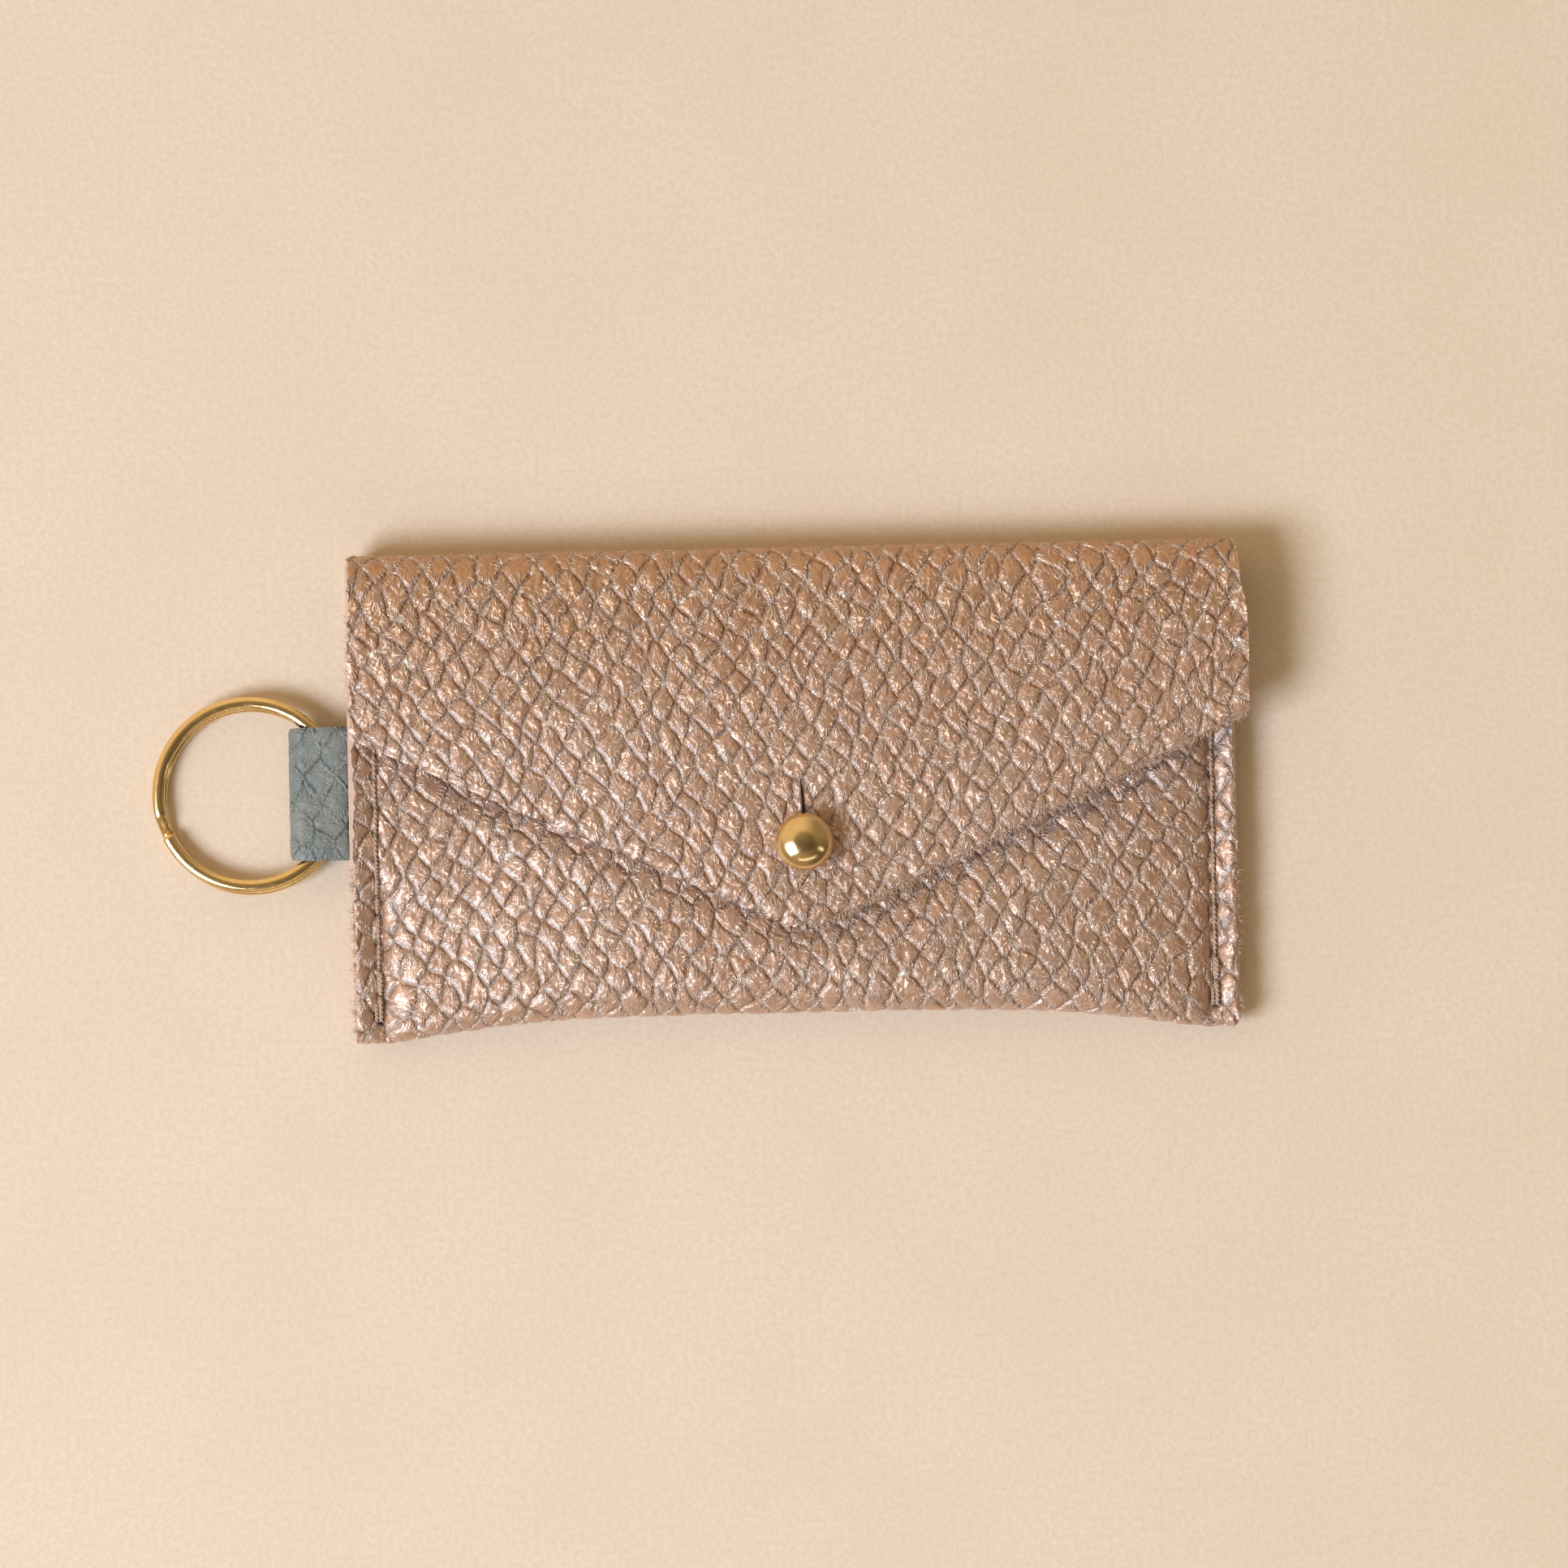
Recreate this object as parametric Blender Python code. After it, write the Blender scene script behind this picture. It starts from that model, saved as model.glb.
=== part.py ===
"""A keyring card holder: one sheet of pebbled leather folded into a pocket and a pointed flap.

The pocket's two sides are stitched. The flap buttons over a ball stud. A strap sewn into the
left seam holds a split ring. The holder lies on its back: +X runs to the right along its length,
+Y towards the top fold, +Z up. The origin is on the underside, in the middle of the pocket.
"""

import math

import bmesh
import bpy
from mathutils import Matrix, Vector

MM = 0.001

# Leather body
POUCH_WIDTH = 112.0 * MM
POUCH_HEIGHT = 61.8 * MM
LEATHER = 1.15 * MM
POCKET_ROOM = 5.8 * MM
SEAM_INSET = 3.1 * MM
SEAM_GAP = 0.3 * MM
SEAM_FLAT = 1.0 * MM
BELLY_POWER = 4.0
BOTTOM_BOW = 2.9 * MM
BOW_POWER = 1.3
BOTTOM_FOLD_SHARE = 1.5
REST_WIDTH = 80.0 * MM
EDGE_LIFT = 1.2 * MM
MARGIN_FLARE = 0.5 * MM
MOUTH_DROP = 11.4 * MM

# Flap and its fold
FLAP_CLEARANCE = 0.5 * MM
FLAP_DROOP = 1.3 * MM
FLAP_FLARE = 1.7 * MM
FLAP_LEFT_DROP = 22.5 * MM
FLAP_RIGHT_DROP = 21.4 * MM
FLAP_TIP_DROP = 48.2 * MM
FLAP_TIP_ROUND = 2.5 * MM
FLARE_SHARE = 0.25
FOLD_HINGES = tuple(math.radians(turn) for turn in (30.0, 90.0, 150.0))
FOLD_SLOT = 0.3 * MM

# Ball stud and the buttonhole in the flap
STUD_X = 1.25 * MM
STUD_DROP = 37.25 * MM
KNOB_DIAMETER = 7.3 * MM
KNOB_HEIGHT = 4.6 * MM
NECK_DIAMETER = 3.8 * MM
FLANGE_DIAMETER = 7.0 * MM
FLANGE_THICKNESS = 0.8 * MM
FLANGE_RECESS = 0.5 * MM
SCREW_DIAMETER = 2.4 * MM
SCREW_DEPTH = 3.4 * MM
SCREW_HEAD_DIAMETER = 6.6 * MM
SCREW_HEAD_THICKNESS = 0.8 * MM
SCREW_SLOT_WIDTH = 0.7 * MM
SCREW_SLOT_DEPTH = 0.4 * MM
BUTTONHOLE_DIAMETER = 4.6 * MM
GIVING_DIAMETER = 10.0 * MM
SLIT_REACH = 7.8 * MM
SLIT_WIDTH = 0.4 * MM

# Strap of the key loop
STRAP_WIDTH = 16.9 * MM
STRAP = 1.0 * MM
STRAP_Y = 0.9 * MM
STRAP_REACH = 8.0 * MM
STRAP_TAIL = 3.0 * MM
STRAP_SIDE = 0.6 * MM
STRAP_EASE = 7.0 * MM
STRAP_ROUNDING = 0.5 * MM
LOOP_HEIGHT = 3.35 * MM

# Split ring
RING_DIAMETER = 25.0 * MM
RING_WIRE_WIDTH = 1.8 * MM
RING_WIRE_THICKNESS = 0.95 * MM
RING_WIRE_CHAMFER = 0.28 * MM
RING_COIL_GAP = 0.2 * MM
RING_TO_POUCH = 0.4 * MM
RING_NOTCH = math.radians(205.0)
RING_CROSSOVER = math.radians(16.0)
RING_END_GAP = math.radians(3.0)

# Stitching
THREAD = 0.45 * MM
SEAM_END = 2.8 * MM
RIGHT_PITCH = 3.24 * MM
LEFT_PITCH = 3.38 * MM
LEFT_SHORT_PITCH = 2.35 * MM
STITCHES = 14
SHORT_STITCHES = range(4, 7)
STITCH_HOLE_LENGTH = 1.7 * MM
STITCH_HOLE_WIDTH = 0.8 * MM
STITCH_DIP = 0.5 * MM

# Clearances between pieces
SOFT_GAP = 0.2 * MM
METAL_GAP = 0.3 * MM
RING_GAP = 0.25 * MM
THREAD_GAP = 0.15 * MM
CUT_OVERRUN = 1.0 * MM

# Steps of the curved forms
BELLY_STEPS = 11
EASE_STEPS = 4
BOTTOM_STEPS = 8
FOLD_STEPS = 4
FLAP_STEPS = 8
TURNED_STEPS = 28
KNOB_STEPS = 10
RING_STEPS = 44
LOOP_STEPS = 10

HALF_WIDTH = POUCH_WIDTH / 2
HALF_HEIGHT = POUCH_HEIGHT / 2
SEAM_X = HALF_WIDTH - SEAM_INSET
BELLY_HALF = SEAM_X - SEAM_FLAT
MOUTH_Y = HALF_HEIGHT - MOUTH_DROP
STUD_Y = HALF_HEIGHT - STUD_DROP
FLAP_TOP = POCKET_ROOM + 3 * LEATHER + FLAP_CLEARANCE
FOLD_RADIUS = FLAP_TOP / 2
RING_HALF_STACK = RING_WIRE_THICKNESS + RING_COIL_GAP / 2
RING_MIDDLE = (RING_DIAMETER - RING_WIRE_WIDTH) / 2
CROWN_X = -(HALF_WIDTH + RING_TO_POUCH + RING_WIRE_WIDTH / 2)


def ring_tilt():
    """The angle at which the ring droops from the loop until its far side touches the table."""
    reach = RING_MIDDLE + RING_DIAMETER / 2
    return math.asin(LOOP_HEIGHT / math.hypot(reach, RING_HALF_STACK)) - math.atan2(RING_HALF_STACK, reach)


def smooth(share):
    """Eases from 0 to 1 as the share goes from 0 to 1."""
    share = min(max(share, 0.0), 1.0)
    return share * share * (3.0 - 2.0 * share)


def above_zero(length):
    """The length where it is positive, zero where it is negative, rounded off between the two."""
    if abs(length) >= STRAP_ROUNDING:
        return max(length, 0.0)
    return (length + STRAP_ROUNDING) ** 2 / (4 * STRAP_ROUNDING)


def belly(x):
    """1 in the middle of the pocket, falling to 0 at the seams."""
    return max(0.0, 1.0 - (abs(x) / BELLY_HALF) ** BELLY_POWER)


def strap_opening(x):
    """Half the room between the strap's two layers: closed in the seam, open round the ring."""
    seam_end = -(SEAM_X + SOFT_GAP)
    share = (seam_end - x) / (seam_end - CROWN_X + METAL_GAP)
    closed = SOFT_GAP / 2
    return closed + (RING_HALF_STACK + RING_GAP - closed) * smooth(share)


def pocket_faces(x, y):
    """The heights of the pocket's floor and roof."""
    side = abs(x)
    lift = EDGE_LIFT * smooth((side - REST_WIDTH / 2) / (HALF_WIDTH - REST_WIDTH / 2))
    lift += MARGIN_FLARE * smooth((side - SEAM_X) / SEAM_INSET)
    floor = lift + LEATHER
    roof = floor + SEAM_GAP + (POCKET_ROOM - SEAM_GAP) * math.sqrt(belly(x))
    if x < 0:
        past = abs(y - STRAP_Y) - STRAP_WIDTH / 2 - STRAP_SIDE
        beside = smooth(1.0 - past / STRAP_EASE)
        half_strap = strap_opening(x) + STRAP + SOFT_GAP
        floor -= beside * above_zero(floor - LOOP_HEIGHT + half_strap)
        roof += beside * above_zero(LOOP_HEIGHT + half_strap - roof)
    return floor, roof


def front_height(x, y):
    return pocket_faces(x, y)[1] + LEATHER


def back_height(x, y):
    return pocket_faces(x, y)[0] - LEATHER


def flap_middle(x):
    return FLAP_TOP - LEATHER / 2 - FLAP_DROOP * (x / HALF_WIDTH) ** 2


def flap_edge(x):
    """The flap's cut edge: two nearly straight sides that meet in a blunt point below the stud."""
    drop = FLAP_LEFT_DROP if x < STUD_X else FLAP_RIGHT_DROP
    corner = -HALF_WIDTH if x < STUD_X else HALF_WIDTH + FLAP_FLARE
    rise = (FLAP_TIP_DROP - drop) / abs(corner - STUD_X)
    rounded = math.hypot(x - STUD_X, FLAP_TIP_ROUND) - FLAP_TIP_ROUND
    return HALF_HEIGHT - FLAP_TIP_DROP + rise * rounded


def columns():
    """The leather's lines across: close together where the front curves down to its seams."""
    quarter = math.pi / 2 / BELLY_STEPS
    right = [BELLY_HALF * math.sin(quarter * step) for step in range(1, BELLY_STEPS + 1)]
    right += [SEAM_X, SEAM_X + SEAM_INSET / 2, HALF_WIDTH]
    return [-x for x in reversed(right)] + [0.0] + right


def strap_rows():
    """The leather's lines down a panel: close together where it rises over the strap."""
    inner = STRAP_WIDTH / 2 + STRAP_SIDE
    steps = [inner + STRAP_EASE * step / EASE_STEPS for step in range(EASE_STEPS + 1)]
    rows = [STRAP_Y + far for far in reversed(steps)] + [STRAP_Y] + [STRAP_Y - far for far in steps]
    lowest = BOTTOM_BOW + POCKET_ROOM - HALF_HEIGHT
    return [row for row in rows if lowest < row < MOUTH_Y - STRAP_SIDE]


def fold_turns(radius):
    """The angles round the top fold of each stretch between its slots."""
    half_slot = FOLD_SLOT / 2 / radius
    starts = [0.0] + [hinge + half_slot for hinge in FOLD_HINGES]
    ends = [hinge - half_slot for hinge in FOLD_HINGES] + [math.pi]
    return [
        [start + (end - start) * step / FOLD_STEPS for step in range(FOLD_STEPS + 1)]
        for start, end in zip(starts, ends)
    ]


def leather_line(x):
    """The leather's middle line at x, from the pocket's mouth down the front and round to the flap's edge.

    It comes in four stretches, which the fold's slots part: pouch, two fold strips and flap.
    """
    floor, roof = pocket_faces(x, -HALF_HEIGHT)
    low, high = floor - LEATHER / 2, roof + LEATHER / 2
    half = (high - low) / 2
    length = half * (1.0 + (BOTTOM_FOLD_SHARE - 1.0) * belly(x))
    bottom_y = length + LEATHER / 2 - HALF_HEIGHT + BOTTOM_BOW * belly(x) ** BOW_POWER
    downs = [MOUTH_Y, *strap_rows()]
    downs.append((downs[-1] + bottom_y) / 2)
    pouch = [(x, y, pocket_faces(x, y)[1] + LEATHER / 2) for y in downs]
    for step in range(BOTTOM_STEPS + 1):
        turn = math.pi * step / BOTTOM_STEPS
        pouch.append((x, bottom_y - length * math.sin(turn), low + half + half * math.cos(turn)))
    pouch += [(x, y, pocket_faces(x, y)[0] - LEATHER / 2) for y in reversed(downs)]

    radius = (flap_middle(x) - low) / 2
    fold_y = HALF_HEIGHT - LEATHER / 2 - radius
    stretches = [
        [(x, fold_y + radius * math.sin(turn), low + radius - radius * math.cos(turn)) for turn in turns]
        for turns in fold_turns(radius)
    ]
    stretches[0] = pouch + stretches[0]
    across = x / HALF_WIDTH
    for step in range(1, FLAP_STEPS + 1):
        down = step / FLAP_STEPS
        shift = STUD_X * (1.0 - across**2) + FLAP_FLARE * max(across, 0.0)
        flap_x = x + shift * smooth(down / FLARE_SHARE)
        stretches[3].append((flap_x, fold_y + (flap_edge(flap_x) - fold_y) * down, flap_middle(x)))
    return stretches


def normals_of(grid):
    """The unit normal at each point of a grid of points."""
    normals = []
    for r, row in enumerate(grid):
        above, below = grid[max(r - 1, 0)], grid[min(r + 1, len(grid) - 1)]
        line = []
        for c in range(len(row)):
            across = row[min(c + 1, len(row) - 1)] - row[max(c - 1, 0)]
            line.append(across.cross(below[c] - above[c]).normalized())
        normals.append(line)
    return normals


def new_material(name, colour, roughness, metallic=0.0):
    material = bpy.data.materials.new(name)
    material.use_nodes = True
    shader = material.node_tree.nodes["Principled BSDF"]
    shader.inputs["Base Color"].default_value = (*colour, 1.0)
    shader.inputs["Roughness"].default_value = roughness
    shader.inputs["Metallic"].default_value = metallic
    material.diffuse_color = (*colour, 1.0)
    return material


def finished(name, mesh, material=None, origin=(0.0, 0.0, 0.0), parent=None, crease=40.0):
    """An object from a bmesh in world places, with its origin moved to where the piece turns."""
    bmesh.ops.recalc_face_normals(mesh, faces=mesh.faces)
    bmesh.ops.translate(mesh, vec=-Vector(origin), verts=mesh.verts)
    data = bpy.data.meshes.new(name)
    mesh.to_mesh(data)
    mesh.free()
    data.shade_smooth()
    data.set_sharp_from_angle(angle=math.radians(crease))
    return placed(name, data, material, origin, parent)


def placed(name, data, material, origin, parent):
    piece = bpy.data.objects.new(name, data)
    bpy.context.scene.collection.objects.link(piece)
    if material:
        data.materials.append(material)
    piece.location = origin
    if parent:
        piece.parent = parent
        bpy.context.view_layer.update()
        piece.matrix_parent_inverse = parent.matrix_world.inverted()
    return piece


def sheet(name, grid, normals, thickness, material, origin=(0.0, 0.0, 0.0), parent=None):
    """A closed body of even thickness about a grid of points."""
    mesh = bmesh.new()
    faces = []
    for side in (thickness / 2, -thickness / 2):
        faces.append(
            [
                [mesh.verts.new(point + normal * side) for point, normal in zip(row, line)]
                for row, line in zip(grid, normals)
            ]
        )
    rows, across = len(grid), len(grid[0])
    for face in faces:
        for r in range(rows - 1):
            for c in range(across - 1):
                mesh.faces.new((face[r][c], face[r][c + 1], face[r + 1][c + 1], face[r + 1][c]))
    border = [(0, c) for c in range(across)] + [(r, across - 1) for r in range(1, rows)]
    border += [(rows - 1, c) for c in range(across - 2, -1, -1)] + [(r, 0) for r in range(rows - 2, 0, -1)]
    upper, lower = faces
    for (r0, c0), (r1, c1) in zip(border, border[1:] + border[:1]):
        mesh.faces.new((upper[r0][c0], upper[r1][c1], lower[r1][c1], lower[r0][c0]))
    return finished(name, mesh, material, origin, parent)


def tube(name, rings, material, origin=(0.0, 0.0, 0.0), parent=None):
    """A closed body through rings of points, with a flat cap at each end."""
    mesh = bmesh.new()
    loops = [[mesh.verts.new(point) for point in ring] for ring in rings]
    for first, second in zip(loops, loops[1:]):
        for a in range(len(first)):
            b = (a + 1) % len(first)
            mesh.faces.new((first[a], first[b], second[b], second[a]))
    mesh.faces.new(loops[0])
    mesh.faces.new(loops[-1])
    return finished(name, mesh, material, origin, parent)


def turned(name, profile, centre, material=None, parent=None):
    """A body turned about a vertical axis from (radius, height) points that start and end on it."""
    mesh = bmesh.new()
    middle = Vector((centre[0], centre[1], 0.0))
    rings = []
    for radius, height in profile:
        turns = [2 * math.pi * step / TURNED_STEPS for step in range(TURNED_STEPS)] if radius else [0.0]
        rings.append(
            [
                mesh.verts.new(middle + Vector((radius * math.cos(turn), radius * math.sin(turn), height)))
                for turn in turns
            ]
        )
    for first, second in zip(rings, rings[1:]):
        for a in range(TURNED_STEPS):
            b = (a + 1) % TURNED_STEPS
            corners = [first[a % len(first)], first[b % len(first)], second[b % len(second)], second[a % len(second)]]
            mesh.faces.new(list(dict.fromkeys(corners)))
    return finished(name, mesh, material, parent=parent)


def cutter(piece):
    """Marks a piece as a cutting tool, which isn't part of the holder."""
    piece.hide_render = True
    piece.display_type = "WIRE"
    return piece


def cut(piece, tool):
    modifier = piece.modifiers.new(tool.name, "BOOLEAN")
    modifier.operation = "DIFFERENCE"
    modifier.solver = "EXACT"
    modifier.object = tool


def box_mesh(low, high):
    mesh = bmesh.new()
    bmesh.ops.create_cube(mesh, size=1.0)
    size = Vector(high) - Vector(low)
    bmesh.ops.scale(mesh, vec=size, verts=mesh.verts)
    bmesh.ops.translate(mesh, vec=(Vector(high) + Vector(low)) / 2, verts=mesh.verts)
    return mesh


def seam_holes(x):
    """The y of each stitch hole in a seam, from the bottom up; the left seam has short steps below the strap."""
    y = SEAM_END - HALF_HEIGHT
    holes = [y]
    for stitch in range(STITCHES):
        if x > 0:
            y += RIGHT_PITCH
        else:
            y += LEFT_SHORT_PITCH if stitch in SHORT_STITCHES else LEFT_PITCH
        holes.append(y)
    return holes


def stitch_hole_cutter():
    """One long hole of six sides for each stitch, through all the layers of both seams."""
    mesh = bmesh.new()
    half_length, half_width = STITCH_HOLE_LENGTH / 2, STITCH_HOLE_WIDTH / 2
    straight = half_length - half_width
    outline = [(0.0, half_length), (half_width, straight), (half_width, -straight)]
    outline += [(-across, -along) for across, along in outline]
    for seam in (-SEAM_X, SEAM_X):
        for y in seam_holes(seam):
            ring = [mesh.verts.new((seam + across, y + along, -CUT_OVERRUN)) for across, along in outline]
            face = mesh.faces.new(ring)
            sides = bmesh.ops.extrude_face_region(mesh, geom=[face])["geom"]
            risen = [item for item in sides if isinstance(item, bmesh.types.BMVert)]
            bmesh.ops.translate(mesh, vec=(0.0, 0.0, FLAP_TOP + CUT_OVERRUN), verts=risen)
    return cutter(finished("stitch_hole_cutter", mesh))


def thread(name, seam, height, side, material, parent):
    """One thread of a lockstitched seam, which lies on a face of the leather and dips into every hole."""
    half_hole = STITCH_HOLE_LENGTH / 2
    lying = THREAD / 2 + THREAD_GAP
    path = []
    holes = seam_holes(seam)
    for hole, following in zip(holes, holes[1:]):
        path += [
            (hole, -STITCH_DIP),
            (hole + half_hole / 2, lying / 2),
            (hole + half_hole, lying),
            (following - half_hole, lying),
            (following - half_hole / 2, lying / 2),
        ]
    path.append((holes[-1], -STITCH_DIP))
    data = bpy.data.curves.new(name, "CURVE")
    data.dimensions = "3D"
    data.bevel_depth = THREAD / 2
    data.bevel_resolution = 1
    data.use_fill_caps = True
    line = data.splines.new("POLY")
    line.points.add(len(path) - 1)
    for point, (y, out) in zip(line.points, path):
        point.co = (seam, y, height(seam, y) + side * out, 1.0)
    line.use_smooth = True
    return placed(name, data, material, (0.0, 0.0, 0.0), parent)


def strap_line():
    """The strap's middle line from one tail out round the ring and back to the other tail, seen along Y."""
    tilt = ring_tilt()
    fold_half = RING_HALF_STACK + RING_GAP + STRAP / 2
    fold_x = CROWN_X - (STRAP_REACH - RING_TO_POUCH - RING_WIRE_WIDTH / 2 - fold_half - STRAP / 2)
    tail_x = STRAP_TAIL - SEAM_X
    spread = [
        tail_x,
        *(-SEAM_X + (CROWN_X + SEAM_X) * step / LOOP_STEPS for step in range(LOOP_STEPS + 1)),
        (CROWN_X + fold_x) / 2,
    ]
    flat = [(x, -strap_opening(x) - STRAP / 2) for x in spread]
    flat += [
        (fold_x - fold_half * math.sin(turn), -fold_half * math.cos(turn))
        for turn in (math.pi * step / LOOP_STEPS for step in range(LOOP_STEPS + 1))
    ]
    flat += [(x, strap_opening(x) + STRAP / 2) for x in reversed(spread)]
    line = []
    for x, z in flat:
        droop = tilt * smooth((CROWN_X - x) / STRAP + 1.0)
        out = x - CROWN_X
        line.append(
            (CROWN_X + out * math.cos(droop) + z * -math.sin(droop), LOOP_HEIGHT + out * math.sin(droop) + z * math.cos(droop))
        )
    return line


def ring_path():
    """(angle, height) along the split ring's wire: the upper turn, the crossover and the lower turn."""
    end = 4 * math.pi - RING_CROSSOVER - RING_END_GAP
    marks = {end * step / (2 * RING_STEPS) for step in range(2 * RING_STEPS + 1)}
    crossing = 2 * math.pi - RING_CROSSOVER
    marks |= {crossing + RING_CROSSOVER * step / EASE_STEPS for step in range(EASE_STEPS + 1)}
    level = (RING_WIRE_THICKNESS + RING_COIL_GAP) / 2
    path, last = [], -1.0
    for turn in sorted(marks):
        if turn - last < RING_END_GAP / 2:
            continue
        last = turn
        path.append((RING_NOTCH + turn, level - 2 * level * smooth((turn - crossing) / RING_CROSSOVER)))
    return path


def split_ring(material, parent):
    half_width, half_thick = RING_WIRE_WIDTH / 2, RING_WIRE_THICKNESS / 2
    flat_width, flat_thick = half_width - RING_WIRE_CHAMFER, half_thick - RING_WIRE_CHAMFER
    corner = [(half_width, flat_thick), (flat_width, half_thick), (-flat_width, half_thick), (-half_width, flat_thick)]
    section = corner + [(-across, -up) for across, up in corner]
    tilt = ring_tilt()
    centre = Vector((CROWN_X - RING_MIDDLE * math.cos(tilt), STRAP_Y, LOOP_HEIGHT - RING_MIDDLE * math.sin(tilt)))
    stand = Matrix.Translation(centre) @ Matrix.Rotation(-tilt, 4, "Y")
    rings = []
    for turn, height in ring_path():
        out = Vector((math.cos(turn), math.sin(turn), 0.0))
        rings.append(
            [stand @ (out * (RING_MIDDLE + across) + Vector((0.0, 0.0, height + up))) for across, up in section]
        )
    return tube("split_ring", rings, material, centre, parent)


def stud_post(material, parent):
    """Flange, neck and flattened ball in one, with a bore for the screw."""
    seat = front_height(STUD_X, STUD_Y) - FLANGE_RECESS + SOFT_GAP
    flange_top = seat + FLANGE_THICKNESS
    neck_top = FLAP_TOP + SOFT_GAP
    knob, rise = KNOB_DIAMETER / 2, KNOB_HEIGHT / 2
    neck, flange = NECK_DIAMETER / 2, FLANGE_DIAMETER / 2
    bore = SCREW_DIAMETER / 2 + METAL_GAP
    start = math.asin(neck / knob)
    centre = neck_top + rise * math.cos(start)
    profile = [(0.0, seat + SCREW_DEPTH + METAL_GAP), (bore, seat + SCREW_DEPTH + METAL_GAP), (bore, seat)]
    profile += [(flange, seat), (flange, flange_top), (neck, flange_top)]
    for step in range(KNOB_STEPS):
        turn = start + (math.pi - start) * step / KNOB_STEPS
        profile.append((knob * math.sin(turn), centre - rise * math.cos(turn)))
    profile.append((0.0, centre + rise))
    return turned("stud_post", profile, (STUD_X, STUD_Y), material, parent)


def stud_screw(material, parent):
    """A slotted screw that comes up through the front panel into the post."""
    seat = front_height(STUD_X, STUD_Y) - FLANGE_RECESS + SOFT_GAP
    head_top = pocket_faces(STUD_X, STUD_Y)[1] - SOFT_GAP
    head_low = head_top - SCREW_HEAD_THICKNESS
    shank, head = SCREW_DIAMETER / 2, SCREW_HEAD_DIAMETER / 2
    bevel = SCREW_HEAD_THICKNESS / 3
    profile = [(0.0, head_low), (head - bevel, head_low), (head, head_low + bevel), (head, head_top)]
    profile += [(shank, head_top), (shank, seat + SCREW_DEPTH), (0.0, seat + SCREW_DEPTH)]
    screw = turned("stud_screw", profile, (STUD_X, STUD_Y), material, parent)
    low = (STUD_X - head - CUT_OVERRUN, STUD_Y - SCREW_SLOT_WIDTH / 2, head_low - CUT_OVERRUN)
    high = (STUD_X + head + CUT_OVERRUN, STUD_Y + SCREW_SLOT_WIDTH / 2, head_low + SCREW_SLOT_DEPTH)
    cut(screw, cutter(finished("screw_slot_cutter", box_mesh(low, high))))
    return screw


def stud_seat_cutter():
    """The front panel's hole for the screw, with the recess that the flange presses into the leather."""
    top = front_height(STUD_X, STUD_Y)
    hole = SCREW_DIAMETER / 2 + METAL_GAP
    recess = FLANGE_DIAMETER / 2 + METAL_GAP
    low = pocket_faces(STUD_X, STUD_Y)[1] - CUT_OVERRUN
    profile = [(0.0, low), (hole, low), (hole, top - FLANGE_RECESS), (recess, top - FLANGE_RECESS)]
    profile += [(recess, top + CUT_OVERRUN), (0.0, top + CUT_OVERRUN)]
    return cutter(turned("stud_seat_cutter", profile, (STUD_X, STUD_Y)))


def round_cutter(name, radius):
    low, high = FLAP_TOP - LEATHER - CUT_OVERRUN, FLAP_TOP + CUT_OVERRUN
    return cutter(turned(name, [(0.0, low), (radius, low), (radius, high), (0.0, high)], (STUD_X, STUD_Y)))


def slit_cutter():
    low = (STUD_X - SLIT_WIDTH / 2, STUD_Y, FLAP_TOP - LEATHER - CUT_OVERRUN)
    high = (STUD_X + SLIT_WIDTH / 2, STUD_Y + SLIT_REACH, FLAP_TOP + CUT_OVERRUN)
    return cutter(finished("slit_cutter", box_mesh(low, high)))


def flap_buttonhole(material, slit, parent):
    """The ring of flap leather round the stud's neck, which gives way as it passes over the ball."""
    outer, inner = GIVING_DIAMETER / 2 - METAL_GAP, BUTTONHOLE_DIAMETER / 2
    low, high = FLAP_TOP - LEATHER, FLAP_TOP
    mesh = bmesh.new()
    rings = [
        [
            mesh.verts.new((STUD_X + radius * math.cos(turn), STUD_Y + radius * math.sin(turn), height))
            for turn in (2 * math.pi * step / TURNED_STEPS for step in range(TURNED_STEPS))
        ]
        for radius, height in ((outer, low), (outer, high), (inner, high), (inner, low))
    ]
    for first, second in zip(rings, rings[1:] + rings[:1]):
        for a in range(TURNED_STEPS):
            b = (a + 1) % TURNED_STEPS
            mesh.faces.new((first[a], first[b], second[b], second[a]))
    patch = finished("flap_buttonhole", mesh, material, parent=parent)
    cut(patch, slit)
    return patch


def hinge_point(turn):
    """The place of a living hinge on the outside of the top fold."""
    middle = HALF_HEIGHT - FOLD_RADIUS
    return (0.0, middle + FOLD_RADIUS * math.sin(turn), FOLD_RADIUS - FOLD_RADIUS * math.cos(turn))


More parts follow.
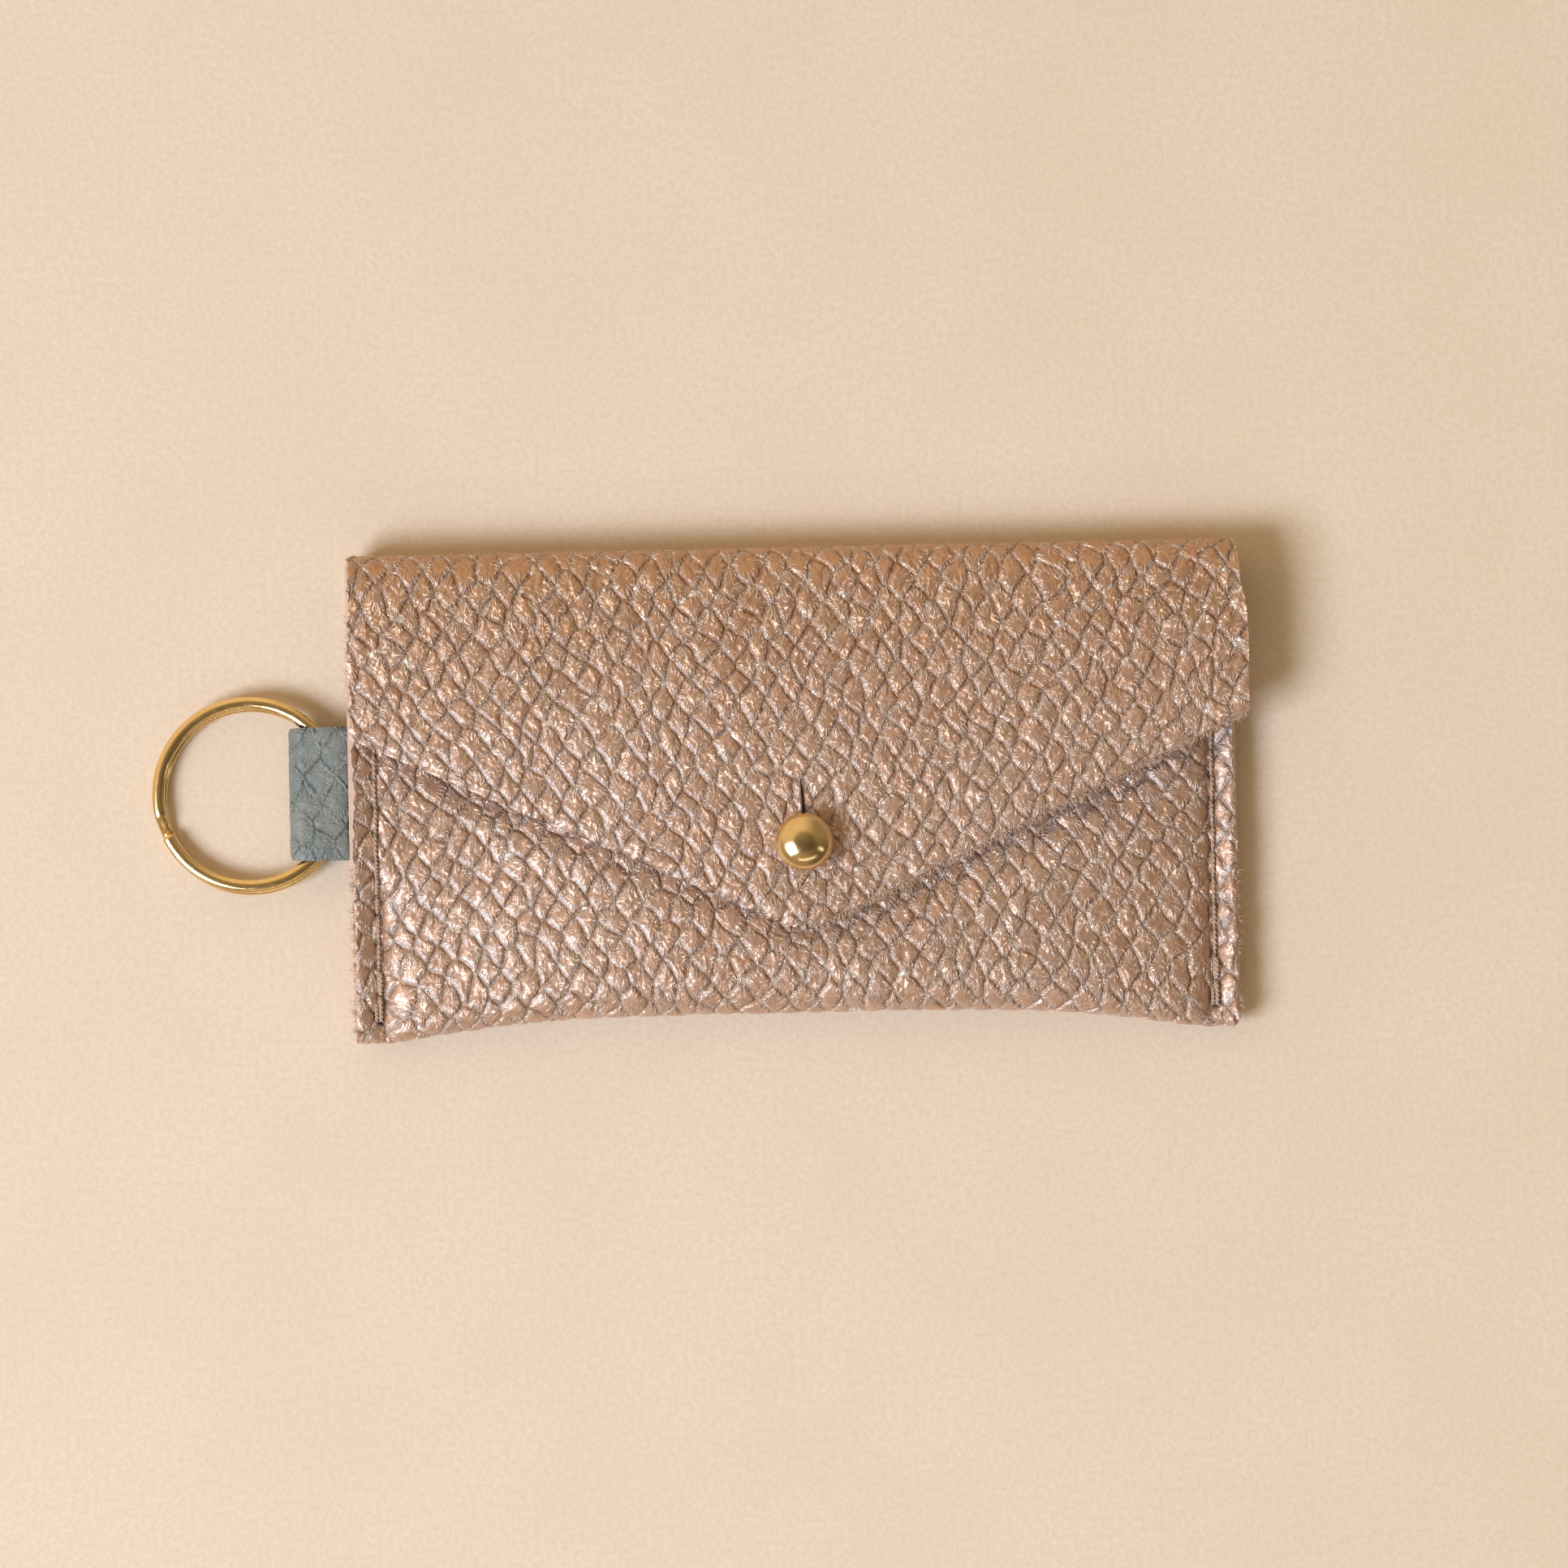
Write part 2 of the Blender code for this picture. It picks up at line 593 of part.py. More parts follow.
def build():
    for old in list(bpy.data.objects):
        bpy.data.objects.remove(old)

    leather = new_material("pearl_taupe_leather", (0.46, 0.31, 0.24), 0.42, 0.25)
    strap_leather = new_material("blue_grey_leather", (0.22, 0.24, 0.225), 0.55)
    gold = new_material("gold_plated_steel", (0.86, 0.6, 0.22), 0.18, 1.0)
    brass = new_material("polished_brass", (0.83, 0.6, 0.26), 0.12, 1.0)
    yarn = new_material("taupe_thread", (0.56, 0.44, 0.35), 0.7)

    lines = [leather_line(x) for x in columns()]
    stretches = []
    for part in range(4):
        stretches.append([[Vector(line[part][r]) for line in lines] for r in range(len(lines[0][part]))])
    normals = normals_of([row for stretch in stretches for row in stretch])
    pieces, start = [], 0
    names = ("pouch_leather", "flap_fold_lower", "flap_fold_upper", "flap")
    origins = [(0.0, 0.0, 0.0)] + [hinge_point(turn) for turn in FOLD_HINGES]
    for name, stretch, origin in zip(names, stretches, origins):
        line_normals = normals[start : start + len(stretch)]
        start += len(stretch)
        parent = pieces[-1] if pieces else None
        pieces.append(sheet(name, stretch, line_normals, LEATHER, leather, origin, parent))
    pouch, flap = pieces[0], pieces[-1]

    holes = stitch_hole_cutter()
    cut(pouch, holes)
    cut(pouch, stud_seat_cutter())
    slit = slit_cutter()
    cut(flap, round_cutter("giving_cutter", GIVING_DIAMETER / 2))
    cut(flap, slit)
    flap_buttonhole(leather, slit, flap)
    stud_post(brass, pouch)
    stud_screw(brass, pouch)

    ends = (STRAP_Y - STRAP_WIDTH / 2, STRAP_Y + STRAP_WIDTH / 2)
    strap_grid = [[Vector((x, y, z)) for y in ends] for x, z in strap_line()]
    crown = (CROWN_X, STRAP_Y, LOOP_HEIGHT)
    loop = sheet("key_loop", strap_grid, normals_of(strap_grid), STRAP, strap_leather, crown, pouch)
    cut(loop, holes)
    split_ring(gold, loop)

    for side, seam in (("left", -SEAM_X), ("right", SEAM_X)):
        thread(f"{side}_seam_needle_thread", seam, front_height, 1.0, yarn, pouch)
        thread(f"{side}_seam_bobbin_thread", seam, back_height, -1.0, yarn, pouch)


build()
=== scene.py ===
"""The keyring card holder: raised pebbled leather, suede edges, stitching, split ring and ball stud."""

import math

import bpy
import numpy as np
from mathutils import Matrix, Vector


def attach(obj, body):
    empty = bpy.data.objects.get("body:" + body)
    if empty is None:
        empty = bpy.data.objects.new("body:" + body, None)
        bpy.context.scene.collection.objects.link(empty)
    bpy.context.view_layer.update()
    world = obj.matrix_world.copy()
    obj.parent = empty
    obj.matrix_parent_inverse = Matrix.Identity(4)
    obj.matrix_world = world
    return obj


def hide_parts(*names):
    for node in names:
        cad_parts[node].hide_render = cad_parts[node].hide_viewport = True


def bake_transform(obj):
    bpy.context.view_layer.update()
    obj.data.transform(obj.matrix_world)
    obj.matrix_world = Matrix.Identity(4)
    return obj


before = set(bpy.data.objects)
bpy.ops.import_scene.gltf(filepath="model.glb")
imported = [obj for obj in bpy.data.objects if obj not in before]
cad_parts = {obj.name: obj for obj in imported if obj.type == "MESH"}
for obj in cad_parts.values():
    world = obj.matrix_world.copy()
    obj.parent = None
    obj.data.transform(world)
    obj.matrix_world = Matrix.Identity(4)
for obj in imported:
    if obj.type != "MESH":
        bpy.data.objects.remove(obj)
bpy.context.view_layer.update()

MM = 0.001

# The leather's form, as in the frame
HALF_WIDTH = 56.0 * MM
HALF_HEIGHT = 30.9 * MM
LEATHER = 1.15 * MM
POCKET_ROOM = 5.8 * MM
SEAM_INSET = 3.1 * MM
SEAM_GAP = 0.3 * MM
SEAM_FLAT = 1.0 * MM
BOTTOM_BOW = 2.9 * MM
BELLY_POWER = 2.15
BOW_POWER = 4.0
REST_HALF = 40.0 * MM
REST_HEIGHT = 0.01 * MM
EDGE_LIFT = 1.2 * MM
LIFT_END = 26.0 * MM
LIFT_FADE = 14.0 * MM
MARGIN_FLARE = 0.95 * MM
MOUTH_Y = HALF_HEIGHT - 11.4 * MM
SEAM_X = HALF_WIDTH - SEAM_INSET
BELLY_HALF = SEAM_X - SEAM_FLAT
FLAP_TOP = POCKET_ROOM + 3 * LEATHER + 0.5 * MM
FLAP_DROOP = 1.3 * MM
RIGHT_DROOP = 0.5 * MM
LEFT_PRESS = 0.8 * MM
RIGHT_PRESS = 1.15 * MM
PRESS_REACH = (4.5 * MM, 7.5 * MM)
PRESS_TURNS_OVER = 16.0 * MM
FLAP_FLARE = 1.7 * MM
FOLD_FLARE = 0.75 * MM
FLAP_LEFT_DROP = 22.5 * MM
FLAP_RIGHT_DROP = 21.4 * MM
FLAP_TIP_DROP = 48.2 * MM
FLAP_TIP_ROUND = 1.0 * MM
HINGE_TURNS = [math.radians(turn) for turn in (30.0, 90.0, 150.0)]

# Strap and ring
STRAP_WIDTH = 16.9 * MM
STRAP = 1.0 * MM
STRAP_Y = 0.9 * MM
STRAP_REACH = 8.0 * MM
STRAP_TAIL = 3.0 * MM
STRAP_PLAY = 0.2 * MM
WIRE_PLAY = 0.25 * MM
TAILS_APART = 0.1 * MM
OPENING_MARGIN = 0.6 * MM
OPENING_FADE = 7.0 * MM
LOOP_HEIGHT = 3.35 * MM
RING_RADIUS = 12.5 * MM
WIRE_WIDTH = 1.8 * MM
WIRE_SHOWN = 1.62 * MM
UPPER_SHIFT = (-0.04 * MM, 0.09 * MM)
LOWER_SHIFT = (0.10 * MM, -0.22 * MM)
WIRE_THICKNESS = 0.95 * MM
COIL_GAP = 0.2 * MM
RING_NOTCH = math.radians(205.0)
RING_CROSSOVER = math.radians(16.0)
RING_END_GAP = math.radians(3.0)
RING_MIDDLE = RING_RADIUS - WIRE_WIDTH / 2
HALF_STACK = WIRE_THICKNESS + COIL_GAP / 2
CROWN_X = -(HALF_WIDTH + 0.4 * MM + WIRE_WIDTH / 2)
RING_TILT = math.radians(5.4877)

# Stud
STUD_X = 1.25 * MM
STUD_Y = HALF_HEIGHT - 37.25 * MM
KNOB_RADIUS = 3.65 * MM
KNOB_RISE = 2.3 * MM
NECK_TOP = FLAP_TOP + 0.2 * MM
NECK_RADIUS = 1.9 * MM
BUTTONHOLE_RADIUS = 2.25 * MM
SLIT_REACH = 7.8 * MM

# Stitching
SEAM_END = 2.8 * MM
RIGHT_PITCH = 3.24 * MM
LEFT_PITCH = 3.38 * MM
LEFT_SHORT_PITCH = 2.35 * MM
STITCHES = 14
SHORT_STITCHES = range(4, 7)
THREAD = 0.48 * MM
THREAD_COIL = 0.26 * THREAD
PLY_RADIUS = 0.27 * THREAD
PLY_TURNS = 2.6

# Seam groove and stitch holes
GROOVE_REACH = 0.7 * MM
GROOVE_DEPTH = 0.16 * MM
HOLE_HALF = (0.52 * MM, 0.62 * MM)
HOLE_DEPTH = 0.5 * MM

# Cut edges. The rolls are shares of a millimetre
EDGE_SLANT = 0.6 * MM
EDGE_REACH = 0.8 * MM
FLESH_ROUGH = 0.12 * MM
LEFT_ROLL = 0.42
ROLL_LESS_RIGHT = 0.27
ROLL_REACH = 0.6 * MM
LIP_REACH = 0.4 * MM
SIDE_SLANT = 0.24 * MM
SIDE_REACH = 0.5 * MM
SIDE_ROUND = 0.12 * MM
ROUND_REACH = 0.35 * MM
HALF_GAPE = 0.24 * MM
HOLE_CUT = (5 * MM, 12 * MM)

# How far the skin is sunk before the grain raises it
GRAIN_SINK = 0.40 * MM
STRAP_SINK = 0.3 * MM
STRAP_GRAIN_DEPTH = 0.36 * MM

# Grain, in millimetres
LOOSENESS = 0.42
CELL_WIDTH = 3.55
CELL_LENGTH = 5.1
STRAP_CELL_WIDTH = 4.6
STRAP_CELL_LENGTH = 6.2
CELL_LEAN = 0.10
PUFF_WIDTH = 0.46
PUFF_POWER = 3.4
PUFF_HEIGHT = 0.27
FACET_HEIGHT = 0.05
WRINKLE_HEIGHT = 0.03
SWELL_HEIGHT = 0.30
WRINKLES_OUT = 15.0
WRINKLES_FANNED = 10.0

# Where painted shade near the top fold darkens the colour and thins the sheen, in millimetres down the sheet
# from the top fold
TOP_FOLD_SHADE_BELOW = (-38.0, -13.0)
TOP_FOLD_SHADE_ABOVE = (14.0, 4.0)

# Fineness of the meshes
SKIN_STEP = 0.3 * MM
BACK_STEP = 0.6 * MM
INNER_EVERY = 3
STRAP_STEP = 0.22 * MM
SAME_PLACE = 1e-7


# Form of the leather


def smooth(share):
    share = np.clip(share, 0.0, 1.0)
    return share * share * (3.0 - 2.0 * share)


def fading(length, reach):
    """1 where the length is 0, and dying away over the reach."""
    return np.exp(-((length / reach) ** 2))


def above_zero(length):
    soft = 0.5 * MM
    eased = (length + soft) ** 2 / (4 * soft)
    return np.where(np.abs(length) >= soft, np.maximum(length, 0.0), eased)


def belly(x, power=BELLY_POWER):
    return np.maximum(0.0, 1.0 - (np.abs(x) / BELLY_HALF) ** power)


def strap_opening(x):
    """Half the room between the strap's two tails, closed in the seam and open at the ring."""
    start = -(SEAM_X + 0.2 * MM)
    share = (start - x) / (start - CROWN_X + 0.3 * MM)
    return TAILS_APART + (HALF_STACK + WIRE_PLAY - TAILS_APART) * smooth(share)


def pocket_faces(x, y):
    """The heights of the pocket's floor and roof."""
    side = np.abs(x)
    lift = EDGE_LIFT * smooth((side - REST_HALF) / (HALF_WIDTH - REST_HALF))
    lift = lift + MARGIN_FLARE * smooth((side - SEAM_X) / SEAM_INSET)
    lift = lift * (1.0 - smooth((y - LIFT_END + LIFT_FADE) / LIFT_FADE))
    floor = lift + LEATHER
    roof = floor + SEAM_GAP + (POCKET_ROOM - SEAM_GAP) * np.sqrt(belly(x))
    past = np.abs(y - STRAP_Y) - STRAP_WIDTH / 2 - OPENING_MARGIN
    beside = np.where(x < 0, smooth(1.0 - past / OPENING_FADE), 0.0)
    half_strap = strap_opening(x) + STRAP + STRAP_PLAY
    floor = floor - beside * above_zero(floor - LOOP_HEIGHT + half_strap)
    roof = roof + beside * above_zero(LOOP_HEIGHT + half_strap - roof)
    return floor, roof


def pressed(x, y):
    """How far the flap's edge presses the front panel down, away from the stud and the seams."""
    beyond = flap_edge(x) - y
    near_stud = np.hypot(x - STUD_X, y - STUD_Y)
    right = smooth((x - STUD_X) / PRESS_TURNS_OVER)
    reach = PRESS_REACH[0] + (PRESS_REACH[1] - PRESS_REACH[0]) * right
    share = (1.0 - smooth(beyond / reach)) * smooth((near_stud - 5 * MM) / (4 * MM))
    depth = LEFT_PRESS + (RIGHT_PRESS - LEFT_PRESS) * right
    return depth * share * smooth((SEAM_X - 2 * MM - np.abs(x)) / (9 * MM))


def flap_middle(x, share=1.0):
    """The height of the flap's middle surface, which droops at its sides, but not yet at the fold."""
    droop = np.where(np.asarray(x) > 0, RIGHT_DROOP, FLAP_DROOP)
    return FLAP_TOP - LEATHER / 2 - droop * (x / HALF_WIDTH) ** 2 * smooth(share)


def flap_edge(x):
    left = x < STUD_X
    drop = np.where(left, FLAP_LEFT_DROP, FLAP_RIGHT_DROP)
    corner = np.where(left, -HALF_WIDTH, HALF_WIDTH + FLAP_FLARE)
    rise = (FLAP_TIP_DROP - drop) / np.abs(corner - STUD_X)
    rounded = np.hypot(x - STUD_X, FLAP_TIP_ROUND) - FLAP_TIP_ROUND
    return HALF_HEIGHT - FLAP_TIP_DROP + rise * rounded


def ragged(along, period, seed):
    """An uneven line of about that period, from -1 to 1, the same on every run."""
    spots = (along - along.min()) / period
    values = np.random.default_rng(seed).uniform(-1.0, 1.0, int(spots.max()) + 3)
    low = spots.astype(int)
    return values[low] + (values[low + 1] - values[low]) * smooth(spots - low)


def spaced(length, step):
    return np.linspace(0.0, 1.0, max(2, int(round(length / step)) + 1))


def leather_middle():
    """The leather's middle surface as a grid of rows down the sheet and columns across it.

    Returns the grid and the row at which each stretch of the sheet ends.
    """
    x = np.linspace(-HALF_WIDTH, HALF_WIDTH, int(2 * HALF_WIDTH / SKIN_STEP) + 1)
    floor, roof = pocket_faces(x, np.full_like(x, -HALF_HEIGHT))
    low, high = floor - LEATHER / 2, roof + LEATHER / 2
    half = (high - low) / 2
    length = half * (1.0 + 0.5 * belly(x, BOW_POWER))
    bottom_y = length + LEATHER / 2 - HALF_HEIGHT + BOTTOM_BOW * belly(x, BOW_POWER) ** 1.3
    rows, ends = [], []

    def stretch(shares, point):
        rows.extend(np.stack(point(share), axis=-1) for share in shares)
        ends.append(len(rows))

    def front(share):
        y = MOUTH_Y + (bottom_y - MOUTH_Y) * share
        return x, y, pocket_faces(x, y)[1] + LEATHER / 2 - pressed(x, y)

    def bottom(share):
        turn = math.pi * share
        return x, bottom_y - length * math.sin(turn), low + half + half * math.cos(turn)

    def back(share):
        y = bottom_y + (fold_y - bottom_y) * share
        return x, y, pocket_faces(x, y)[0] - LEATHER / 2

    def fold(share):
        turn = math.pi * share
        flared = x + FOLD_FLARE * np.maximum(x / HALF_WIDTH, 0.0) * smooth(1.4 * share - 0.4)
        return flared, fold_y + radius * math.sin(turn), LEATHER / 2 + radius - radius * math.cos(turn)

    def flap(share):
        across = x / HALF_WIDTH
        ease = 0.5 * np.minimum(1.0, share / 0.2) + 0.5 * smooth(share / 0.45)
        flare = FOLD_FLARE + (FLAP_FLARE - FOLD_FLARE) * ease
        flap_x = x + STUD_X * (1.0 - across**2) * smooth(share / 0.25) + flare * np.maximum(across, 0.0)
        y = fold_y + (flap_edge(flap_x) - fold_y) * share
        return flap_x, y, flap_middle(flap_x, (fold_y - y) / (12 * MM))

    radius = np.full_like(x, (FLAP_TOP - LEATHER) / 2)
    fold_y = HALF_HEIGHT - LEATHER / 2 - radius
    stretch(spaced(MOUTH_Y - bottom_y.min(), SKIN_STEP), front)
    stretch(spaced(math.pi * half.max(), SKIN_STEP)[1:], bottom)
    stretch(spaced(fold_y.max() - bottom_y.min(), BACK_STEP)[1:], back)
    for third in range(3):
        stretch((third + spaced(math.pi * radius.max() / 3, SKIN_STEP)[1:]) / 3, fold)
    stretch(spaced(fold_y.max() - (HALF_HEIGHT - FLAP_TIP_DROP), SKIN_STEP)[1:], flap)
    return np.array(rows), ends


def grid_normals(grid):
    """Unit normals of a grid of places, out of the side from which its rows run down."""
    across = np.gradient(grid, axis=1)
    down = np.gradient(grid, axis=0)
    normals = np.cross(across, -down)
    return normals / np.linalg.norm(normals, axis=-1, keepdims=True)


# Node helpers


class Net:
    """Adds nodes to a tree and joins them in one call."""

    def __init__(self, tree):
        self.tree = tree

    def node(self, kind, inputs=None, **settings):
        node = self.tree.nodes.new(kind)
        for name, value in settings.items():
            setattr(node, name, value)
        for name, value in (inputs or {}).items():
            self.set(node.inputs[name], value)
        return node

    def set(self, socket, value):
        if isinstance(value, bpy.types.NodeSocket):
            self.tree.links.new(value, socket)
        elif value is not None:
            socket.default_value = value

    def feed(self, node, **inputs):
        """Sets a node's inputs by their names, with underscores for spaces."""
        for name, value in inputs.items():
            self.set(node.inputs[name.replace("_", " ")], value)
        return node

    def math(self, operation, a, b=None, c=None, clamp=False):
        node = self.node("ShaderNodeMath", operation=operation, use_clamp=clamp)
        for socket, value in zip(node.inputs, (a, b, c)):
            self.set(socket, value)
        return node.outputs[0]

    def times(self, a, b):
        return self.math("MULTIPLY", a, b)

    def vector(self, operation, a, b=None, scale=None):
        node = self.node("ShaderNodeVectorMath", operation=operation)
        for socket, value in zip(node.inputs, (a, b)):
            self.set(socket, value)
        if scale is not None:
            self.set(node.inputs["Scale"], scale)
        return node.outputs[1 if operation == "LENGTH" else 0]

    def split(self, vector):
        return self.node("ShaderNodeSeparateXYZ", {"Vector": vector}).outputs

    def remap(self, value, low, high, to_low=0.0, to_high=1.0):
        node = self.node("ShaderNodeMapRange", interpolation_type="SMOOTHSTEP")
        self.feed(node, Value=value, From_Min=low, From_Max=high, To_Min=to_low, To_Max=to_high)
        return node.outputs[0]

    def noise(self, place, scale, detail=2.0, roughness=0.5, colour=False):
        node = self.node("ShaderNodeTexNoise")
        self.feed(node, Vector=place, Scale=scale, Detail=detail, Roughness=roughness)
        return node.outputs["Color" if colour else "Fac"]

    def mix(self, share, first, second):
        node = self.node("ShaderNodeMix", data_type="RGBA")
        for number, value in ((0, share), (6, first), (7, second)):
            self.set(node.inputs[number], value)
        return node.outputs[2]

    def group(self, group, **inputs):
        kind = "GeometryNodeGroup" if group.bl_idname == "GeometryNodeTree" else "ShaderNodeGroup"
        return self.feed(self.node(kind, node_tree=group), **inputs)

    def place(self):
        """The spot in the piece's own coordinates."""
        return self.node("ShaderNodeTexCoord").outputs["Object"]


def new_group(name, kind, inputs, outputs):
    """An empty node group with named sockets, and its first and last nodes."""
    tree = bpy.data.node_groups.new(name, kind)
    for label, socket, default in inputs:
        made = tree.interface.new_socket(label, in_out="INPUT", socket_type=socket)
        if default is not None:
            made.default_value = default
    for label, socket in outputs:
        tree.interface.new_socket(label, in_out="OUTPUT", socket_type=socket)
    net = Net(tree)
    return net, net.node("NodeGroupInput"), net.node("NodeGroupOutput")


FLOAT, VECTOR, GEOMETRY = "NodeSocketFloat", "NodeSocketVector", "NodeSocketGeometry"
GRAIN_INPUTS = [("Cell Width", FLOAT, CELL_WIDTH), ("Cell Length", FLOAT, CELL_LENGTH)]


def pebble_grain(kind):
    """Tumbled grain over flat leather, in millimetres: a loose lattice of puffed lozenges.

    Height raises the mesh. Crease marks the creases, which get painted shade, Fold marks the wrinkles and
    crease rims, which get a painted highlight, and Pucker is the fine relief.
    """
    net, start, end = new_group(
        "pebble_grain",
        kind,
        [("Flat", VECTOR, None)] + GRAIN_INPUTS,
        [(label, FLOAT) for label in ("Height", "Crease", "Pucker", "Fold")],
    )
    flat = start.outputs["Flat"]
    wander = net.vector("SUBTRACT", net.noise(flat, 0.09, 1.0, colour=True), (0.5, 0.5, 0.5))
    jitter = net.vector("SUBTRACT", net.noise(flat, 0.42, 2.0, colour=True), (0.5, 0.5, 0.5))
    place = net.vector("ADD", flat, net.vector("SCALE", wander, scale=4.5))
    place = net.vector("ADD", place, net.vector("SCALE", jitter, scale=1.0))
    parts = net.split(place)

    def lattice(width, length, lean=0.0):
        """The place in cells, where each lozenge of that width and length has sides of 1."""
        across = net.math("DIVIDE", net.math("MULTIPLY_ADD", parts[1], lean, parts[0]), width)
        along = net.math("DIVIDE", parts[1], length)
        both = {"X": net.math("ADD", across, along), "Y": net.math("SUBTRACT", across, along)}
        return net.node("ShaderNodeCombineXYZ", both).outputs[0]

    def cells(spot, feature, randomness, output):
        texture = net.node(
            "ShaderNodeTexVoronoi",
            {"Vector": spot, "Scale": 1.0, "Randomness": randomness},
            feature=feature,
            voronoi_dimensions="2D",
        )
        return texture.outputs[output]

    sway = net.times(net.noise(flat, 0.8, 1.0), 9.0)

    def wrinkles(way, count):
        """Thin ridges that run out from a point, so many in the whole round."""
        ray = net.split(way)
        turn = net.math("ARCTAN2", ray[1], ray[0])
        return net.remap(net.math("SINE", net.math("MULTIPLY_ADD", turn, count, sway)), 0.0, 1.0)

    width, length = start.outputs["Cell Width"], start.outputs["Cell Length"]
    spot = lattice(width, length, CELL_LEAN)
    # some of the creases fade out on the way
    fill = net.remap(net.noise(flat, 0.45, 1.0), 0.50, 0.70, 0.0, 0.09)
    edge = net.math("MAXIMUM", cells(spot, "DISTANCE_TO_EDGE", LOOSENESS, "Distance"), fill)
    centre = cells(spot, "F1", LOOSENESS, "Position")
    ridge = wrinkles(net.vector("SUBTRACT", spot, centre), WRINKLES_OUT)
    near = net.remap(edge, 0.05, 0.36, 1.0, 0.0)
    # fine wrinkles fan out of the crossings between the cells
    crossed = net.vector("ADD", spot, (0.5, 0.5, 0.0))
    crossing = cells(crossed, "F1", LOOSENESS, "Position")
    way = net.vector("SUBTRACT", crossed, crossing)
    reach = net.remap(net.vector("LENGTH", way), 0.10, 0.62, 1.0, 0.0)
    fan = net.times(wrinkles(way, WRINKLES_FANNED), reach)
    # a finer lattice breaks some of the cells into facets
    finer = lattice(net.times(width, 0.47), net.times(length, 0.55), -0.3)
    facet = cells(finer, "DISTANCE_TO_EDGE", 1.0, "Distance")
    folded = net.remap(net.noise(flat, 0.5, 1.0), 0.42, 0.62)
    dome = net.math("SUBTRACT", 1.0, net.math("DIVIDE", edge, PUFF_WIDTH, clamp=True))
    puff = net.math("SUBTRACT", 1.0, net.math("POWER", dome, PUFF_POWER))
    facet_puff = net.remap(facet, 0.0, 0.28)
    height = net.times(puff, PUFF_HEIGHT)
    height = net.math("MULTIPLY_ADD", net.times(facet_puff, folded), FACET_HEIGHT, height)
    height = net.math("MULTIPLY_ADD", net.times(ridge, near), WRINKLE_HEIGHT, height)
    height = net.math("MULTIPLY_ADD", net.noise(flat, 0.12, 2.0), SWELL_HEIGHT, height)
    # narrow creases darkened with painted shade, with painted highlights on the rims beside them
    uneven = net.remap(net.noise(flat, 0.4, 2.0), 0.34, 0.60, 0.1, 1.0)
    crease = net.times(net.remap(edge, 0.0, 0.035, 1.0, 0.0), uneven)
    crease = net.math("MAXIMUM", crease, net.times(net.remap(facet, 0.0, 0.05, 0.4, 0.0), folded))
    rim = net.times(net.remap(edge, 0.035, 0.06), net.remap(edge, 0.07, 0.14, 1.0, 0.0))
    rim = net.times(rim, net.remap(net.noise(flat, 0.7, 1.0), 0.40, 0.62))
    fine = net.noise(net.vector("MULTIPLY", place, (1.5, 1.0, 1.0)), 1.3, 2.0, 0.55)
    patchy = net.remap(net.noise(flat, 0.35, 1.0), 0.36, 0.58, 0.25, 1.0)
    fold = net.times(net.math("MAXIMUM", net.times(ridge, near), fan), patchy)
    valley = net.times(net.remap(edge, 0.0, 0.13), net.remap(uneven, 0.1, 1.0, 0.45, 0.85))
    pucker = net.math("MULTIPLY_ADD", fold, 0.6, net.times(fine, 0.3))
    pucker = net.math("MULTIPLY_ADD", puff, 0.2, net.math("ADD", pucker, valley))
    # wrinkles and crease rims give the mask for a painted highlight
    lit = net.math("MAXIMUM", net.times(fold, 0.7), rim)
    net.feed(end, Fold=lit, Height=height, Crease=crease, Pucker=pucker)
    return net.tree


def fibre_nap():
    """The fine nap of a flesh side or a cut edge, as a height and a light-dark mask."""
    net, start, end = new_group(
        "fibre_nap",
        "ShaderNodeTree",
        [("Place", VECTOR, None), ("Scale", FLOAT, 6000.0)],
        [("Height", FLOAT), ("Mask", FLOAT)],
    )
    place, scale = start.outputs["Place"], start.outputs["Scale"]
    soft = net.noise(place, scale, 4.0, 0.7)
    blotch = net.noise(place, net.times(scale, 0.12), 2.0)
    net.feed(end, Height=soft, Mask=net.math("MULTIPLY_ADD", blotch, 0.5, net.times(soft, 0.5)))
    return net.tree


SHADER_GRAIN = pebble_grain("ShaderNodeTree")
MESH_GRAIN = pebble_grain("GeometryNodeTree")
NAP = fibre_nap()


# Materials


def colour(red, green, blue):
    """A linear colour from the 0 to 255 values of a picture."""
    shares = [value / 255.0 for value in (red, green, blue)]
    return (*(s / 12.92 if s <= 0.04045 else ((s + 0.055) / 1.055) ** 2.4 for s in shares), 1.0)


TAUPE, TAUPE_PALE, TAUPE_TOP_FOLD_SHADE = colour(194, 150, 120), colour(202, 162, 136), colour(190, 143, 104)
SHEEN_SPECK, FOLD_LIT = colour(236, 206, 192), colour(255, 240, 230)
PAINTED_CREASE_SHADE, PAINTED_HOLE_SHADE = colour(116, 62, 28), colour(34, 22, 18)
SLATE, SLATE_PALE, SLATE_STREAK_AND_HIGHLIGHT, SLATE_CREASE_SHADE = (
    colour(114, 120, 116), colour(131, 135, 129), colour(168, 174, 170), colour(66, 70, 66)
)
GOLD_TINT, BRASS_TINT, PLATE_SMEAR = colour(242, 210, 154), colour(230, 202, 152), colour(226, 178, 108)
YARN_PALE, YARN_DARK = colour(226, 200, 178), colour(176, 146, 122)
CREAM, CREAM_DARK, PAPER_TOOTH = colour(240, 220, 197), colour(237, 216, 192), colour(228, 206, 180)


def new_material(name, **values):
    material = bpy.data.materials.new(name)
    material.use_nodes = True
    net = Net(material.node_tree)
    return material, net, net.feed(material.node_tree.nodes["Principled BSDF"], **values)


def attribute(net, name, output="Fac"):
    return net.node("ShaderNodeAttribute", attribute_name=name).outputs[output]


def bump(net, height, distance, under=None):
    node = net.node("ShaderNodeBump")
    return net.feed(node, Height=height, Distance=distance, Strength=1.0, Normal=under).outputs[0]


